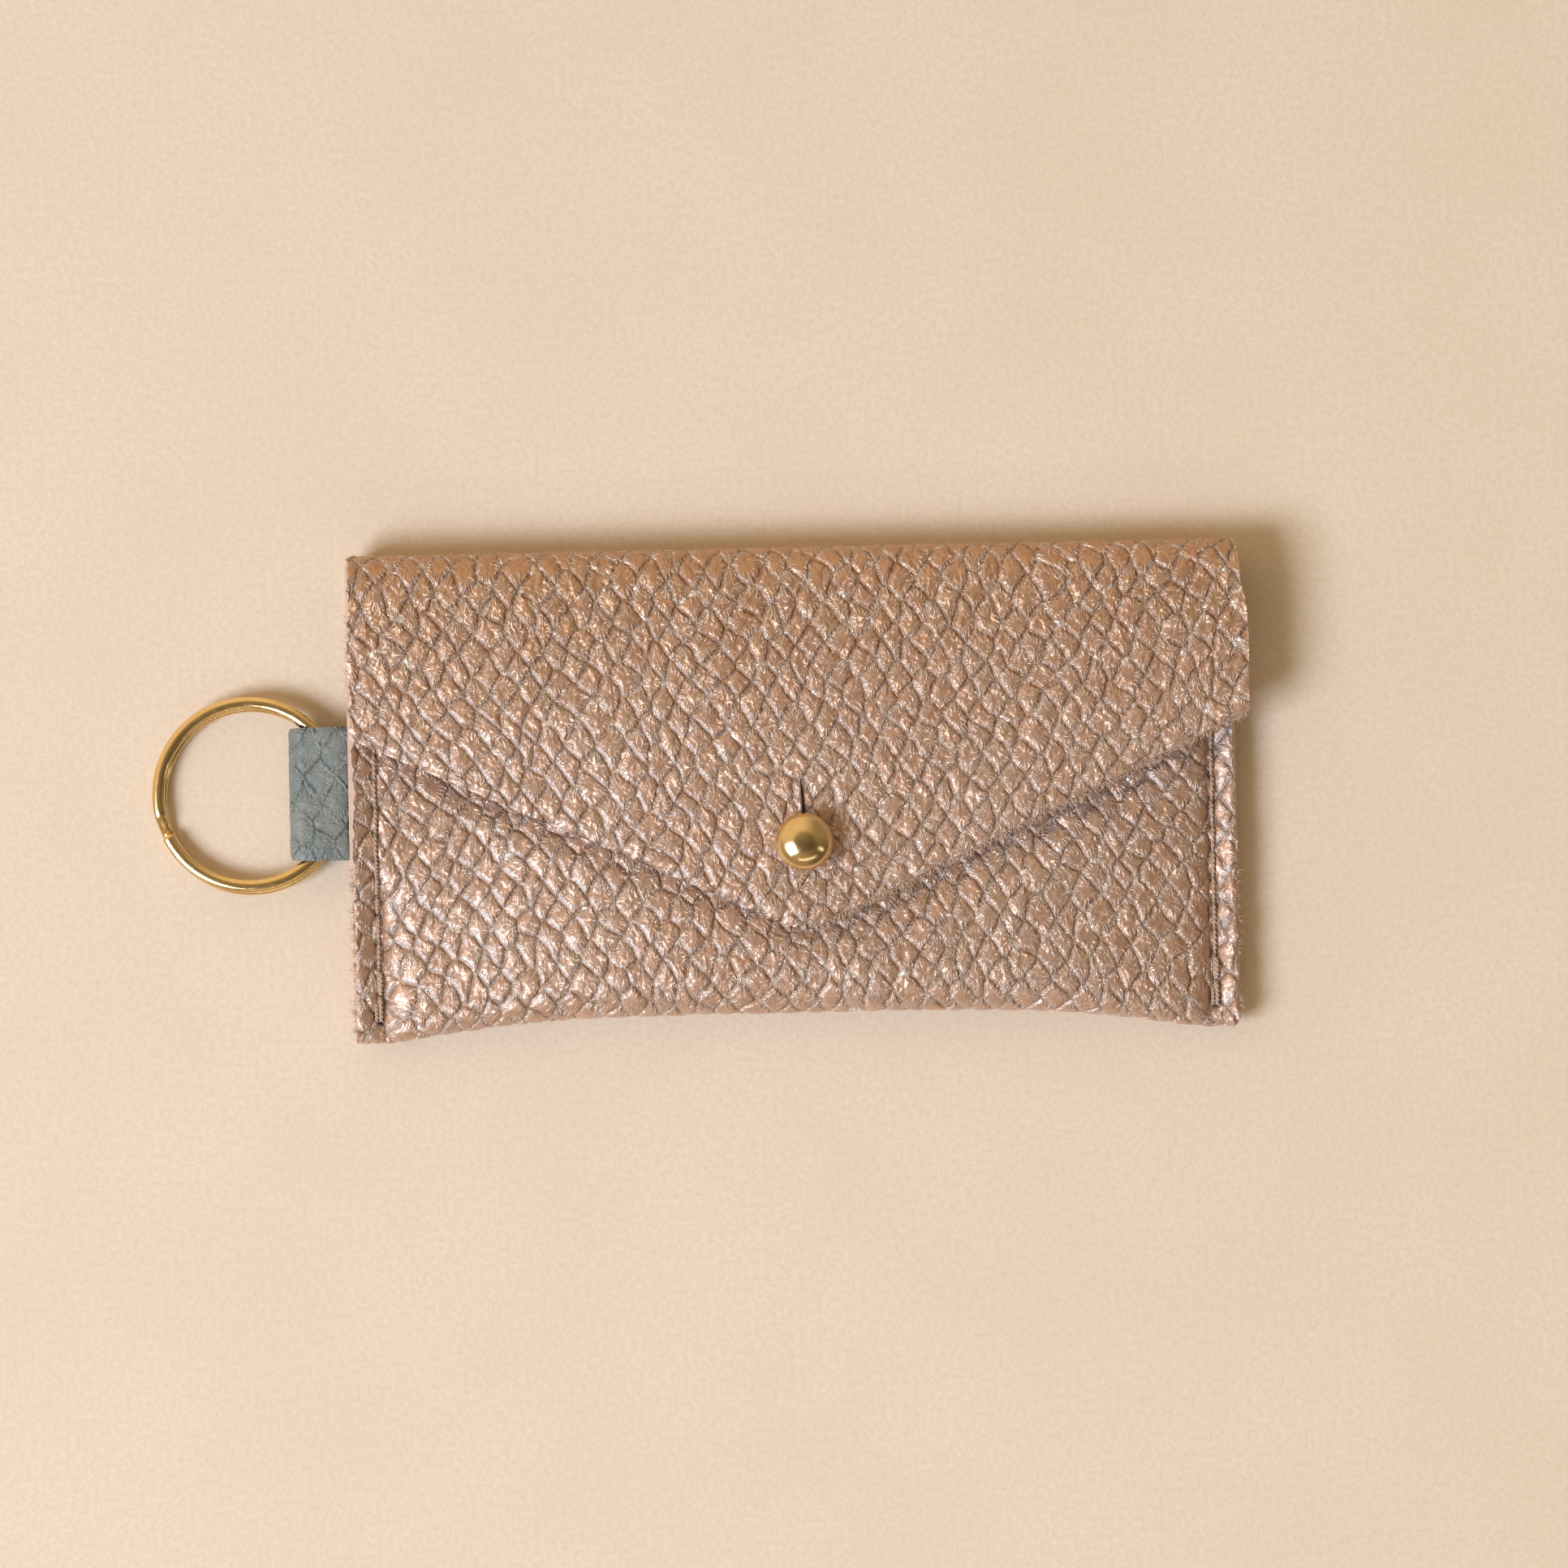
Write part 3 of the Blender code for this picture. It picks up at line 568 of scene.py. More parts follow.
def pearl_leather():
    material, net, shader = new_material(
        "pearl_leather", Metallic=0.5, Coat_Roughness=0.33, Coat_IOR=1.5, Specular_IOR_Level=0.5
    )
    flat = attribute(net, "flat", "Vector")
    grain = net.group(SHADER_GRAIN, Flat=flat)
    crease, pucker = grain.outputs["Crease"], grain.outputs["Pucker"]
    taupe = net.mix(net.remap(net.noise(flat, 0.05, 3.0), 0.35, 0.65), TAUPE, TAUPE_PALE)
    # painted shade near the top fold: a darker, warmer colour, fewer sheen specks and less coat
    down = net.split(flat)[1]
    top_fold_shade = net.times(net.remap(down, *TOP_FOLD_SHADE_BELOW), net.remap(down, *TOP_FOLD_SHADE_ABOVE))
    taupe = net.mix(net.times(top_fold_shade, 0.75), taupe, TAUPE_TOP_FOLD_SHADE)
    kept = net.math("SUBTRACT", 1.0, net.times(top_fold_shade, 0.8))
    # pale specks of painted sheen
    sheen_specks = net.remap(net.noise(flat, 2.6, 3.0, 0.65), 0.4, 0.75, 0.0, 0.4)
    pearl = net.mix(net.times(sheen_specks, kept), taupe, SHEEN_SPECK)
    # painted highlight along the wrinkles and crease rims
    lit = net.mix(net.times(grain.outputs["Fold"], 0.8), pearl, FOLD_LIT)
    # painted shade darkens the creases and the facet lines
    crease_shaded = net.mix(net.times(crease, 0.45), lit, PAINTED_CREASE_SHADE)
    rough = net.remap(net.noise(flat, 1.3, 3.0), 0.3, 0.7, 0.33, 0.43)
    # stitch holes and the flap's rolled lip get painted shade
    net.feed(
        shader,
        Base_Color=net.mix(attribute(net, "painted_shade"), crease_shaded, PAINTED_HOLE_SHADE),
        Roughness=net.math("MULTIPLY_ADD", crease, 0.15, rough),
        Coat_Weight=net.times(net.remap(crease, 0.0, 1.0, 0.9, 0.1), kept),
        Normal=bump(net, pucker, 0.36 * MM),
    )
    return material


def suede(name, light, dark):
    material, net, shader = new_material(name, Roughness=0.92, Sheen_Weight=0.2, Sheen_Roughness=0.4)
    nap = net.group(NAP, Place=net.place())
    tint = net.mix(nap.outputs["Mask"], dark, light)
    net.feed(shader, Base_Color=tint, Normal=bump(net, nap.outputs["Height"], 0.12 * MM))
    return material


def strap_leather():
    material, net, shader = new_material("strap_leather", Coat_Weight=0.3, Coat_Roughness=0.36)
    flat = attribute(net, "flat", "Vector")
    grain = net.group(SHADER_GRAIN, Flat=flat, Cell_Width=STRAP_CELL_WIDTH, Cell_Length=STRAP_CELL_LENGTH)
    crease = grain.outputs["Crease"]
    base = net.mix(net.remap(net.noise(flat, 0.25, 3.0), 0.3, 0.7), SLATE, SLATE_PALE)
    # pale streaks along the strap
    streak = net.remap(net.noise(net.vector("MULTIPLY", flat, (0.55, 2.4, 1.0)), 1.0, 3.0), 0.54, 0.70)
    base = net.mix(net.times(streak, 0.35), base, SLATE_STREAK_AND_HIGHLIGHT)
    # painted highlight along the grain's wrinkles and crease rims
    pale = net.mix(net.times(grain.outputs["Fold"], 0.35), base, SLATE_STREAK_AND_HIGHLIGHT)
    relief = net.math("MULTIPLY_ADD", streak, 0.3, grain.outputs["Pucker"])
    # the creases are darkened with painted shade
    net.feed(
        shader,
        Base_Color=net.mix(net.times(crease, 0.2), pale, SLATE_CREASE_SHADE),
        Roughness=net.remap(net.noise(flat, 2.0, 2.0), 0.3, 0.7, 0.42, 0.58),
        Normal=bump(net, relief, 0.26 * MM, bump(net, crease, -0.07 * MM)),
    )
    return material


def plated(name, tint, roughness):
    """Polished plate with faint scratches and a soft waviness."""
    material, net, shader = new_material(name, Metallic=1.0)
    place = net.place()
    smear = net.noise(place, 900.0, 3.0, 0.6)
    stretched = net.node("ShaderNodeMapping", {"Vector": place, "Scale": (1.0, 9.0, 9.0)}).outputs[0]
    net.feed(
        shader,
        Base_Color=net.mix(net.remap(smear, 0.35, 0.7, 0.0, 0.3), tint, PLATE_SMEAR),
        Roughness=net.remap(smear, 0.3, 0.7, roughness * 0.8, roughness * 1.5),
        Normal=bump(net, net.noise(stretched, 2600.0, 2.0, 0.8), 0.004 * MM),
    )
    return material


def twisted_thread():
    sheen = {"Sheen_Weight": 0.3, "Sheen_Roughness": 0.4}
    material, net, shader = new_material("twisted_thread", Roughness=0.6, **sheen)
    fuzz = net.noise(net.place(), 9000.0, 3.0, 0.7)
    net.feed(shader, Base_Color=net.mix(fuzz, YARN_DARK, YARN_PALE), Normal=bump(net, fuzz, 0.05 * MM))
    return material


def paper_floor():
    material, net, shader = new_material("paper_floor", Roughness=0.85, Specular_IOR_Level=0.2)
    place = net.place()
    tooth = net.noise(place, 1400.0, 3.0, 0.65)
    cream = net.mix(net.remap(net.noise(place, 40.0, 2.0), 0.3, 0.7), CREAM, CREAM_DARK)
    tint = net.mix(net.remap(tooth, 0.3, 0.7, 0.0, 0.7), cream, PAPER_TOOTH)
    net.feed(shader, Base_Color=tint, Normal=bump(net, tooth, 0.05 * MM))
    return material


PEARL = pearl_leather()
FLESH = suede("leather_flesh", colour(206, 172, 152), colour(160, 118, 96))
RAW_EDGE = suede("leather_raw_edge", colour(232, 205, 186), colour(196, 158, 136))
FIBRE = suede("leather_fibre", colour(240, 208, 182), colour(210, 168, 138))
STRAP_SKIN = strap_leather()
STRAP_FLESH = suede("strap_flesh", colour(142, 140, 132), colour(98, 96, 90))
GOLD = plated("gold_plate", GOLD_TINT, 0.12)
BRASS = plated("stud_brass", BRASS_TINT, 0.14)
YARN = twisted_thread()


# Meshes


def added(name, data):
    item = bpy.data.objects.new(name, data)
    bpy.context.scene.collection.objects.link(item)
    return item


def plain_mesh(name, points, faces, materials=()):
    mesh = bpy.data.meshes.new(name)
    mesh.from_pydata([tuple(p) for p in points], [], [tuple(f) for f in faces])
    for material in materials:
        mesh.materials.append(material)
    return added(name, mesh)


def store(mesh, name, values):
    """Keeps one vector for each vertex as a named attribute."""
    layer = mesh.attributes.new(name, "FLOAT_VECTOR", "POINT")
    layer.data.foreach_set("vector", np.asarray(values, np.float32).reshape(-1))


def read(items, name, width=1, kind=np.float32):
    values = np.empty(len(items) * width, kind)
    items.foreach_get(name, values)
    return values.reshape(-1, width) if width > 1 else values


def evaluated(piece):
    """A new mesh of the piece as its modifiers leave it."""
    return bpy.data.meshes.new_from_object(piece.evaluated_get(bpy.context.evaluated_depsgraph_get()))


def run_nodes(piece, tree, wanted):
    """Puts a Geometry Nodes tree on a piece, with its inputs set by their names."""
    modifier = piece.modifiers.new(tree.name, "NODES")
    modifier.node_group = tree
    for item in tree.interface.items_tree:
        if item.in_out == "INPUT" and item.name in wanted:
            modifier[item.identifier] = wanted[item.name]


def named_vector(net, name):
    return net.node("GeometryNodeInputNamedAttribute", {"Name": name}, data_type="FLOAT_VECTOR").outputs[0]


def tube_faces(rows, sides, base=0, capped=True, flip=False):
    """The faces of a tube of rings of vertices, with its two ends last."""
    faces = []
    for row in range(rows - 1):
        for side in range(sides):
            a, b = base + row * sides + side, base + row * sides + (side + 1) % sides
            faces.append((b, a, a + sides, b + sides) if flip else (a, b, b + sides, a + sides))
    if capped:
        first, last = (tuple(range(at, at + sides)) for at in (base, base + (rows - 1) * sides))
        faces += [first, last[::-1]] if flip else [first[::-1], last]
    return faces


def grid_faces(rows, columns, start=0, flip=False):
    r, c = np.meshgrid(np.arange(rows - 1), np.arange(columns - 1), indexing="ij")
    corner = start + (r * columns + c).ravel()
    quads = np.stack([corner, corner + columns, corner + columns + 1, corner + 1], axis=1)
    return quads[:, ::-1] if flip else quads


def border_of(rows, columns, start=0):
    """The vertex numbers round a grid, and how far round it each lies, from 0 to 4, one side a unit."""
    across = np.linspace(0.0, 1.0, columns)
    down = np.linspace(0.0, 1.0, rows)
    number = start + np.arange(rows * columns).reshape(rows, columns)
    loop = np.concatenate([number[0, :-1], number[:-1, -1], number[-1, :0:-1], number[:0:-1, 0]])
    way = np.concatenate([across[:-1], 1.0 + down[:-1], 2.0 + across[:-1], 3.0 + down[:-1]])
    return loop, way


def zipped(first, first_way, second, second_way):
    """Triangles between two loops of unlike counts, by how far round each vertex lies."""
    faces, a, b = [], 0, 0
    while a < len(first) or b < len(second):
        next_a = first_way[a + 1] if a + 1 < len(first) else 4.0
        next_b = second_way[b + 1] if b + 1 < len(second) else 4.0
        if b >= len(second) or (a < len(first) and next_a <= next_b):
            faces.append((first[a], first[(a + 1) % len(first)], second[b % len(second)]))
            a += 1
        else:
            faces.append((first[a % len(first)], second[(b + 1) % len(second)], second[b]))
            b += 1
    return faces


def displaced(grid, normals, flat, grain_depth, cell_width, cell_length):
    """Moves a grid out by the grain's height, worked out with the same nodes as the material."""
    carrier = plain_mesh("grain_carrier", grid.reshape(-1, 3), [])
    store(carrier.data, "flat", flat)
    store(carrier.data, "out", normals)
    net, start, end = new_group(
        "raise_grain",
        "GeometryNodeTree",
        [("Geometry", GEOMETRY, None), ("Depth", FLOAT, MM)] + GRAIN_INPUTS,
        [("Geometry", GEOMETRY)],
    )
    sizes = {name: start.outputs[name.replace("_", " ")] for name in ("Cell_Width", "Cell_Length")}
    grain = net.group(MESH_GRAIN, Flat=named_vector(net, "flat"), **sizes)
    rise = net.times(grain.outputs["Height"], start.outputs["Depth"])
    move = net.vector("SCALE", named_vector(net, "out"), scale=rise)
    placed = net.node("GeometryNodeSetPosition", {"Geometry": start.outputs["Geometry"], "Offset": move})
    net.feed(end, Geometry=placed.outputs[0])
    run_nodes(carrier, net.tree, {"Depth": grain_depth, "Cell Width": cell_width, "Cell Length": cell_length})
    raised = evaluated(carrier)
    places = read(raised.vertices, "co", 3, float)
    bpy.data.objects.remove(carrier)
    bpy.data.meshes.remove(raised)
    bpy.data.node_groups.remove(net.tree)
    return places.reshape(grid.shape)


def shell(name, outer, inner, flat, skins, painted_shade=None):
    """A closed sheet of leather: a fine outer grid, a coarser inner grid and a cut edge between them.

    skins are the materials of the outer side, the inner side and the cut edge.
    """
    rows, columns = outer.shape[:2]
    keep_r = np.unique(np.r_[np.arange(0, rows, INNER_EVERY), rows - 1])
    keep_c = np.unique(np.r_[np.arange(0, columns, INNER_EVERY), columns - 1])
    kept = np.ix_(keep_r, keep_c)
    outer_loop, outer_way = border_of(rows, columns)
    middle = (outer.reshape(-1, 3)[outer_loop] * 0.5) + (inner.reshape(-1, 3)[outer_loop] * 0.5)
    middle_loop = rows * columns + np.arange(len(outer_loop))
    inner_start = rows * columns + len(outer_loop)
    inner_loop, _ = border_of(len(keep_r), len(keep_c), inner_start)
    # the way round a coarse border follows the rows and columns that it keeps
    share_r, share_c = keep_r / (rows - 1), keep_c / (columns - 1)
    inner_way = np.concatenate(
        [share_c[:-1], 1.0 + share_r[:-1], 3.0 - share_c[:0:-1], 4.0 - share_r[:0:-1]]
    )
    skin = grid_faces(rows, columns)
    flesh = grid_faces(len(keep_r), len(keep_c), inner_start, flip=True)
    rim = np.stack([outer_loop, np.roll(outer_loop, -1), np.roll(middle_loop, -1), middle_loop], axis=1)
    lower = [face[::-1] for face in zipped(inner_loop, inner_way, middle_loop, outer_way)]
    points = np.concatenate([outer.reshape(-1, 3), middle, inner[kept].reshape(-1, 3)])
    piece = plain_mesh(name, points, [*skin, *rim, *lower, *flesh], skins)
    mesh = piece.data
    counts = [len(skin), len(rim) + len(lower), len(flesh)]
    mesh.polygons.foreach_set("material_index", np.repeat([0, 2, 1], counts).astype(np.int32))
    mesh.shade_smooth()
    every = flat.reshape(-1, 3)
    store(mesh, "flat", np.concatenate([every, every[outer_loop], flat[kept].reshape(-1, 3)]))
    if painted_shade is not None:
        values = np.zeros(len(points), np.float32)
        values[: rows * columns] = painted_shade.reshape(-1)
        mesh.attributes.new("painted_shade", "FLOAT", "POINT").data.foreach_set("value", values)
    edges = np.sort(read(mesh.edges, "vertices", 2, np.int32), axis=1).astype(np.int64)
    sharp = np.zeros(len(edges), bool)
    for loop in (outer_loop, inner_loop):
        ring = np.sort(np.stack([loop, np.roll(loop, -1)], axis=1), axis=1)
        sharp |= np.isin(edges @ (len(points), 1), ring.astype(np.int64) @ (len(points), 1))
    mesh.attributes.new("sharp_edge", "BOOLEAN", "EDGE").data.foreach_set("value", sharp)
    return piece


def seam_holes(seam):
    y = SEAM_END - HALF_HEIGHT
    holes = [y]
    for stitch in range(STITCHES):
        short = seam < 0 and stitch in SHORT_STITCHES
        y += LEFT_SHORT_PITCH if short else LEFT_PITCH if seam < 0 else RIGHT_PITCH
        holes.append(y)
    return np.array(holes)


def match_normals(piece, places, normals):
    """Gives the outer skin the whole sheet's normals, so that no seam shows where two pieces of it meet."""
    mesh = piece.data

    def keys(spots):
        return [tuple(key) for key in np.round(spots / SAME_PLACE).astype(np.int64)]

    known = {key: number for number, key in enumerate(keys(places.reshape(-1, 3)))}
    found = np.array([known.get(key, -1) for key in keys(read(mesh.vertices, "co", 3, float))])
    corner_vertex = read(mesh.loops, "vertex_index", 1, np.int32)
    corner = read(mesh.corner_normals, "vector", 3)
    sides = read(mesh.polygons, "material_index", 1, np.int32)
    counts = read(mesh.polygons, "loop_total", 1, np.int32)
    skin = (np.repeat(sides, counts) == 0) & (found[corner_vertex] >= 0)
    corner[skin] = normals.reshape(-1, 3)[found[corner_vertex[skin]]]
    mesh.normals_split_custom_set([tuple(normal) for normal in corner])


def prism(name, outline, low, high):
    """An upright closed prism over an outline, to cut with."""
    faces = tube_faces(2, len(outline))
    return plain_mesh(name, [(x, y, z) for z in (low, high) for x, y in outline], faces[-2:] + faces[:-2])


def cut_away(piece, cutter, flesh):
    """Cuts the cutter's shape out of the piece. The cut faces are raw leather."""
    cutter.data.materials.append(flesh)
    modifier = piece.modifiers.new("cut", "BOOLEAN")
    modifier.object = cutter
    modifier.solver = "MANIFOLD"
    modifier.material_mode = "TRANSFER"
    result = evaluated(piece)
    piece.modifiers.clear()
    piece.data = result
    bpy.data.objects.remove(cutter)


def buttonhole_outline():
    """The round hole for the stud's neck and the slit above it, which gapes a little at the hole."""
    start = math.acos(HALF_GAPE / BUTTONHOLE_RADIUS)
    turns = np.linspace(math.pi - start, 2 * math.pi + start, 40)
    outline = [
        (STUD_X + BUTTONHOLE_RADIUS * math.cos(turn), STUD_Y + BUTTONHOLE_RADIUS * math.sin(turn))
        for turn in turns
    ]
    # (way up the slit, how far it sways from the stud's middle)
    slit = [(0.25, 0.0), (0.5, -0.05), (0.75, -0.16), (1.0, -0.3)]
    for side, way in ((1, slit), (-1, slit[::-1])):
        for share, sway in way:
            x = HALF_GAPE * (1.0 - share) ** 0.6 + 0.02 * MM
            y = BUTTONHOLE_RADIUS + (SLIT_REACH - BUTTONHOLE_RADIUS) * share
            outline.append((STUD_X + side * x + sway * MM, STUD_Y + y))
    return outline


def sew_seams(middle, normals, raised, panel):
    """Presses the seams' grooves and stitch holes into the skin. Returns the painted shade of the stitch
    holes, strongest deepest in a hole.
    """
    x, y = middle[..., 0], middle[..., 1]
    painted_shade = np.zeros(x.shape)
    for seam in (-SEAM_X, SEAM_X):
        inside = panel & (y < MOUTH_Y) & (y > seam_holes(seam)[0] - MM)
        raised -= normals * (fading(x - seam, GROOVE_REACH) * inside * GROOVE_DEPTH)[..., None]
        for hole_y in seam_holes(seam):
            near = ((x - seam) / HOLE_HALF[0]) ** 2 + ((y - hole_y) / HOLE_HALF[1]) ** 2
            dip = np.exp(-near) * panel
            painted_shade = np.maximum(painted_shade, np.clip(dip * 1.6 - 0.5, 0, 1))
            raised -= normals * (dip * HOLE_DEPTH)[..., None]
    return painted_shade


def cut_flap_edge(middle, normals, down, raised, inner, flap):
    """Shapes the flap's edge, and returns the painted shade along its rolled lip.

    The edge is cut at a slant on its right side, so its flesh side shows from above, and rolls under on
    its left side.
    """
    x = middle[..., 0]
    from_edge = down[-1][None, :] - down
    right = smooth((x - STUD_X + MM) / (6 * MM))
    rough = (ragged(middle[-1, :, 0], 0.55 * MM, 3) + 0.7 * ragged(middle[-1, :, 0], 2.2 * MM, 4))[None, :]
    slope = np.gradient(middle, axis=0)
    slope /= np.linalg.norm(slope, axis=-1, keepdims=True)
    near_edge = flap * fading(from_edge, EDGE_REACH)
    slant = EDGE_SLANT * (-0.5 + right * (1.0 + 0.35 * rough))
    raised -= slope * (near_edge * slant / 2)[..., None]
    inner += slope * (near_edge * (slant / 2 + FLESH_ROUGH * rough))[..., None]
    roll = LEFT_ROLL - ROLL_LESS_RIGHT * right
    raised -= normals * (flap * fading(from_edge, ROLL_REACH) * roll * MM)[..., None]
    # painted shade along the left part of the lip, where it rolls under
    lip = flap * (1.0 - right) * fading(from_edge, LIP_REACH)
    return lip * np.clip(0.35 + 0.3 * rough, 0.0, 0.6) * smooth((x + 50 * MM) / (25 * MM))


def cut_pouch_sides(middle, normals, down, raised):
    """Draws the skin in along the pouch's sides, which show their cut edge a little from above."""
    for side in (-1, 1):
        from_side = HALF_WIDTH - side * middle[..., 0]
        rough = ragged(down[:, 0], 0.6 * MM, 5 + side) + 0.6 * ragged(down[:, 0], 2.5 * MM, 8 + side)
        raised[..., 0] -= side * (SIDE_SLANT * (1.1 + rough[:, None]) * fading(from_side, SIDE_REACH))
        raised -= normals * (SIDE_ROUND * fading(from_side, ROUND_REACH))[..., None]


def make_leather():
    """The whole sheet of leather as one raised grid, cut at the top fold into the panels, three fold pieces
    and the flap.
    """
    middle, ends = leather_middle()
    normals = grid_normals(middle)
    steps = np.linalg.norm(np.diff(middle, axis=0), axis=-1)
    down = np.concatenate([np.zeros((1, middle.shape[1])), np.cumsum(steps, axis=0)])
    down -= down[ends[2]]
    flat = np.stack([middle[..., 0], -down, np.zeros_like(down)], axis=-1) / MM
    outer = middle + normals * (LEATHER / 2)
    inner = middle - normals * (LEATHER / 2)
    raised = displaced(outer - normals * GRAIN_SINK, normals, flat, MM, CELL_WIDTH, CELL_LENGTH)
    number = np.arange(middle.shape[0])[:, None]
    painted_shade = sew_seams(middle, normals, raised, number < ends[2])
    painted_shade = np.maximum(painted_shade, cut_flap_edge(middle, normals, down, raised, inner, number >= ends[5] - 1))
    cut_pouch_sides(middle, normals, down, raised)
    # the grain is pressed flat where the back lies on something
    raised[..., 2] = np.maximum(raised[..., 2], REST_HEIGHT)

    # the front panel reaches three quarters of the way round the bottom fold
    under = (ends[0] + ends[1]) // 2 + (ends[1] - ends[0]) // 4
    cuts = [0, under, ends[2] - 1, ends[3] - 1, ends[4] - 1, ends[5] - 1, len(raised) - 1]
    names = ["front_panel", "back_panel", "top_fold_1", "top_fold_2", "top_fold_3", "flap_leather"]
    made = {}
    for name, first, last in zip(names, cuts, cuts[1:]):
        part = slice(first, last + 1)
        made[name] = shell(name, raised[part], inner[part], flat[part], (PEARL, FLESH, RAW_EDGE), painted_shade[part])
    cut_away(made["flap_leather"], prism("buttonhole", buttonhole_outline(), *HOLE_CUT), FLESH)
    raised_normals = grid_normals(raised)
    for sheet in made.values():
        match_normals(sheet, raised, raised_normals)
    return made


def place_leather():
    leather = make_leather()
    for name in ("front_panel", "back_panel"):
        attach(leather[name], "pouch")
        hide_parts("pouch_leather")
    fold_nodes = ("flap_fold_lower", "flap_fold_lower", "flap_fold_upper")
    for number, turn in enumerate(HINGE_TURNS):
        piece = leather[f"top_fold_{number + 1}"]
        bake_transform(piece)
        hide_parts(fold_nodes[number])
    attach(leather["flap_leather"], "flap")
    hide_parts("flap", "flap_buttonhole")


# Key loop


def strap_path():
    """The loop's middle line as x and z, from the lower tail round the ring to the upper tail."""
    fold_half = HALF_STACK + WIRE_PLAY + STRAP / 2
    fold_x = CROWN_X - (STRAP_REACH - 0.4 * MM - WIRE_WIDTH / 2 - fold_half - STRAP / 2)
    tail_x = STRAP_TAIL - SEAM_X
    x = np.linspace(tail_x, fold_x, 48)
    z = -strap_opening(x) - STRAP / 2
    turns = np.linspace(0.0, math.pi, 26)[1:-1]
    bend_x, bend_z = fold_x - fold_half * np.sin(turns), -fold_half * np.cos(turns)
    path_x = np.concatenate([x, bend_x, x[::-1]])
    path_z = np.concatenate([z, bend_z, -z[::-1]])
    turn = RING_TILT * smooth((CROWN_X - path_x) / STRAP + 1.0)
    from_x = path_x - CROWN_X
    across = CROWN_X + from_x * np.cos(turn) - path_z * np.sin(turn)
    up = from_x * np.sin(turn) + path_z * np.cos(turn) + LOOP_HEIGHT
    return across, up


def make_key_loop():
    path_x, path_z = strap_path()
    lengths = np.concatenate([[0.0], np.cumsum(np.hypot(np.diff(path_x), np.diff(path_z)))])
    even = np.linspace(0.0, lengths[-1], int(lengths[-1] / STRAP_STEP))
    x, z = np.interp(even, lengths, path_x), np.interp(even, lengths, path_z)
    share = np.linspace(0.0, 1.0, int(STRAP_WIDTH / STRAP_STEP))
    y = STRAP_Y + STRAP_WIDTH * (0.5 - share)
    middle = np.empty((len(even), len(share), 3))
    middle[..., 0], middle[..., 1], middle[..., 2] = x[:, None], y[None, :], z[:, None]
    # the outer layer's sides draw in a little where the strap turns round the ring
    fold = fading(even - even[-1] / 2, 2.2 * MM)
    middle[..., 1] = STRAP_Y + (middle[..., 1] - STRAP_Y) * (1.0 - 0.016 * fold[:, None])
    normals = grid_normals(middle)
    if normals[0, 0, 2] > 0:
        normals = -normals
    flat = np.stack(np.broadcast_arrays(even[:, None] + 70 * MM, y[None, :], 0.0), axis=-1) / MM
    outer = middle + normals * STRAP / 2
    inner = middle - normals * STRAP / 2
    sunk = outer - normals * STRAP_SINK
    raised = displaced(sunk, normals, flat, STRAP_GRAIN_DEPTH, STRAP_CELL_WIDTH, STRAP_CELL_LENGTH)
    sides = np.minimum(share, 1.0 - share) * STRAP_WIDTH
    raised -= normals * (0.22 * MM * fading(sides, 0.35 * MM))[None, :, None]
    piece = shell("key_loop_leather", raised, inner, flat, (STRAP_SKIN, STRAP_FLESH, STRAP_FLESH))
    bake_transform(piece)
    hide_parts("key_loop")
    return piece


# Split ring and stud


def swept(name, places, sides, ups, profile, material):
    """A closed bar along a line of places, with the same rounded profile all the way."""
    rows, count = len(places), len(profile)
    across = profile[:, 0][None, :, None] * sides[:, None, :] + profile[:, 1][None, :, None] * ups[:, None, :]
    points = (places[:, None, :] + across).reshape(-1, 3)
    piece = plain_mesh(name, points, tube_faces(rows, count), [material])
    piece.data.shade_smooth()
    ends = set()
    for base in (0, (rows - 1) * count):
        ends |= {frozenset((base + c, base + (c + 1) % count)) for c in range(count)}
    sharp = np.array([frozenset(edge.vertices) in ends for edge in piece.data.edges])
    piece.data.attributes.new("sharp_edge", "BOOLEAN", "EDGE").data.foreach_set("value", sharp)
    return piece


def ring_turns():
    """Angles, heights and sideways shifts of the wire's middle: two turns with one step down between them."""
    level = (WIRE_THICKNESS + COIL_GAP) / 2
    turn = np.linspace(0.0, 4 * math.pi - RING_CROSSOVER - RING_END_GAP, 620)
    share = smooth((turn - (2 * math.pi - RING_CROSSOVER)) / RING_CROSSOVER)
    shift = np.outer(1.0 - share, UPPER_SHIFT) + np.outer(share, LOWER_SHIFT)
    return turn, level * (1.0 - 2.0 * share), shift


def wire_profile(power=2.0 / 2.1, count=28):
    """The wire's rounded section as points (outwards, up)."""
    around = np.linspace(0.0, 2 * math.pi, count, endpoint=False)
    halves = ((WIRE_SHOWN / 2, np.cos(around)), (WIRE_THICKNESS / 2, np.sin(around)))
    return np.stack([half * np.sign(wave) * np.abs(wave) ** power for half, wave in halves], axis=-1)


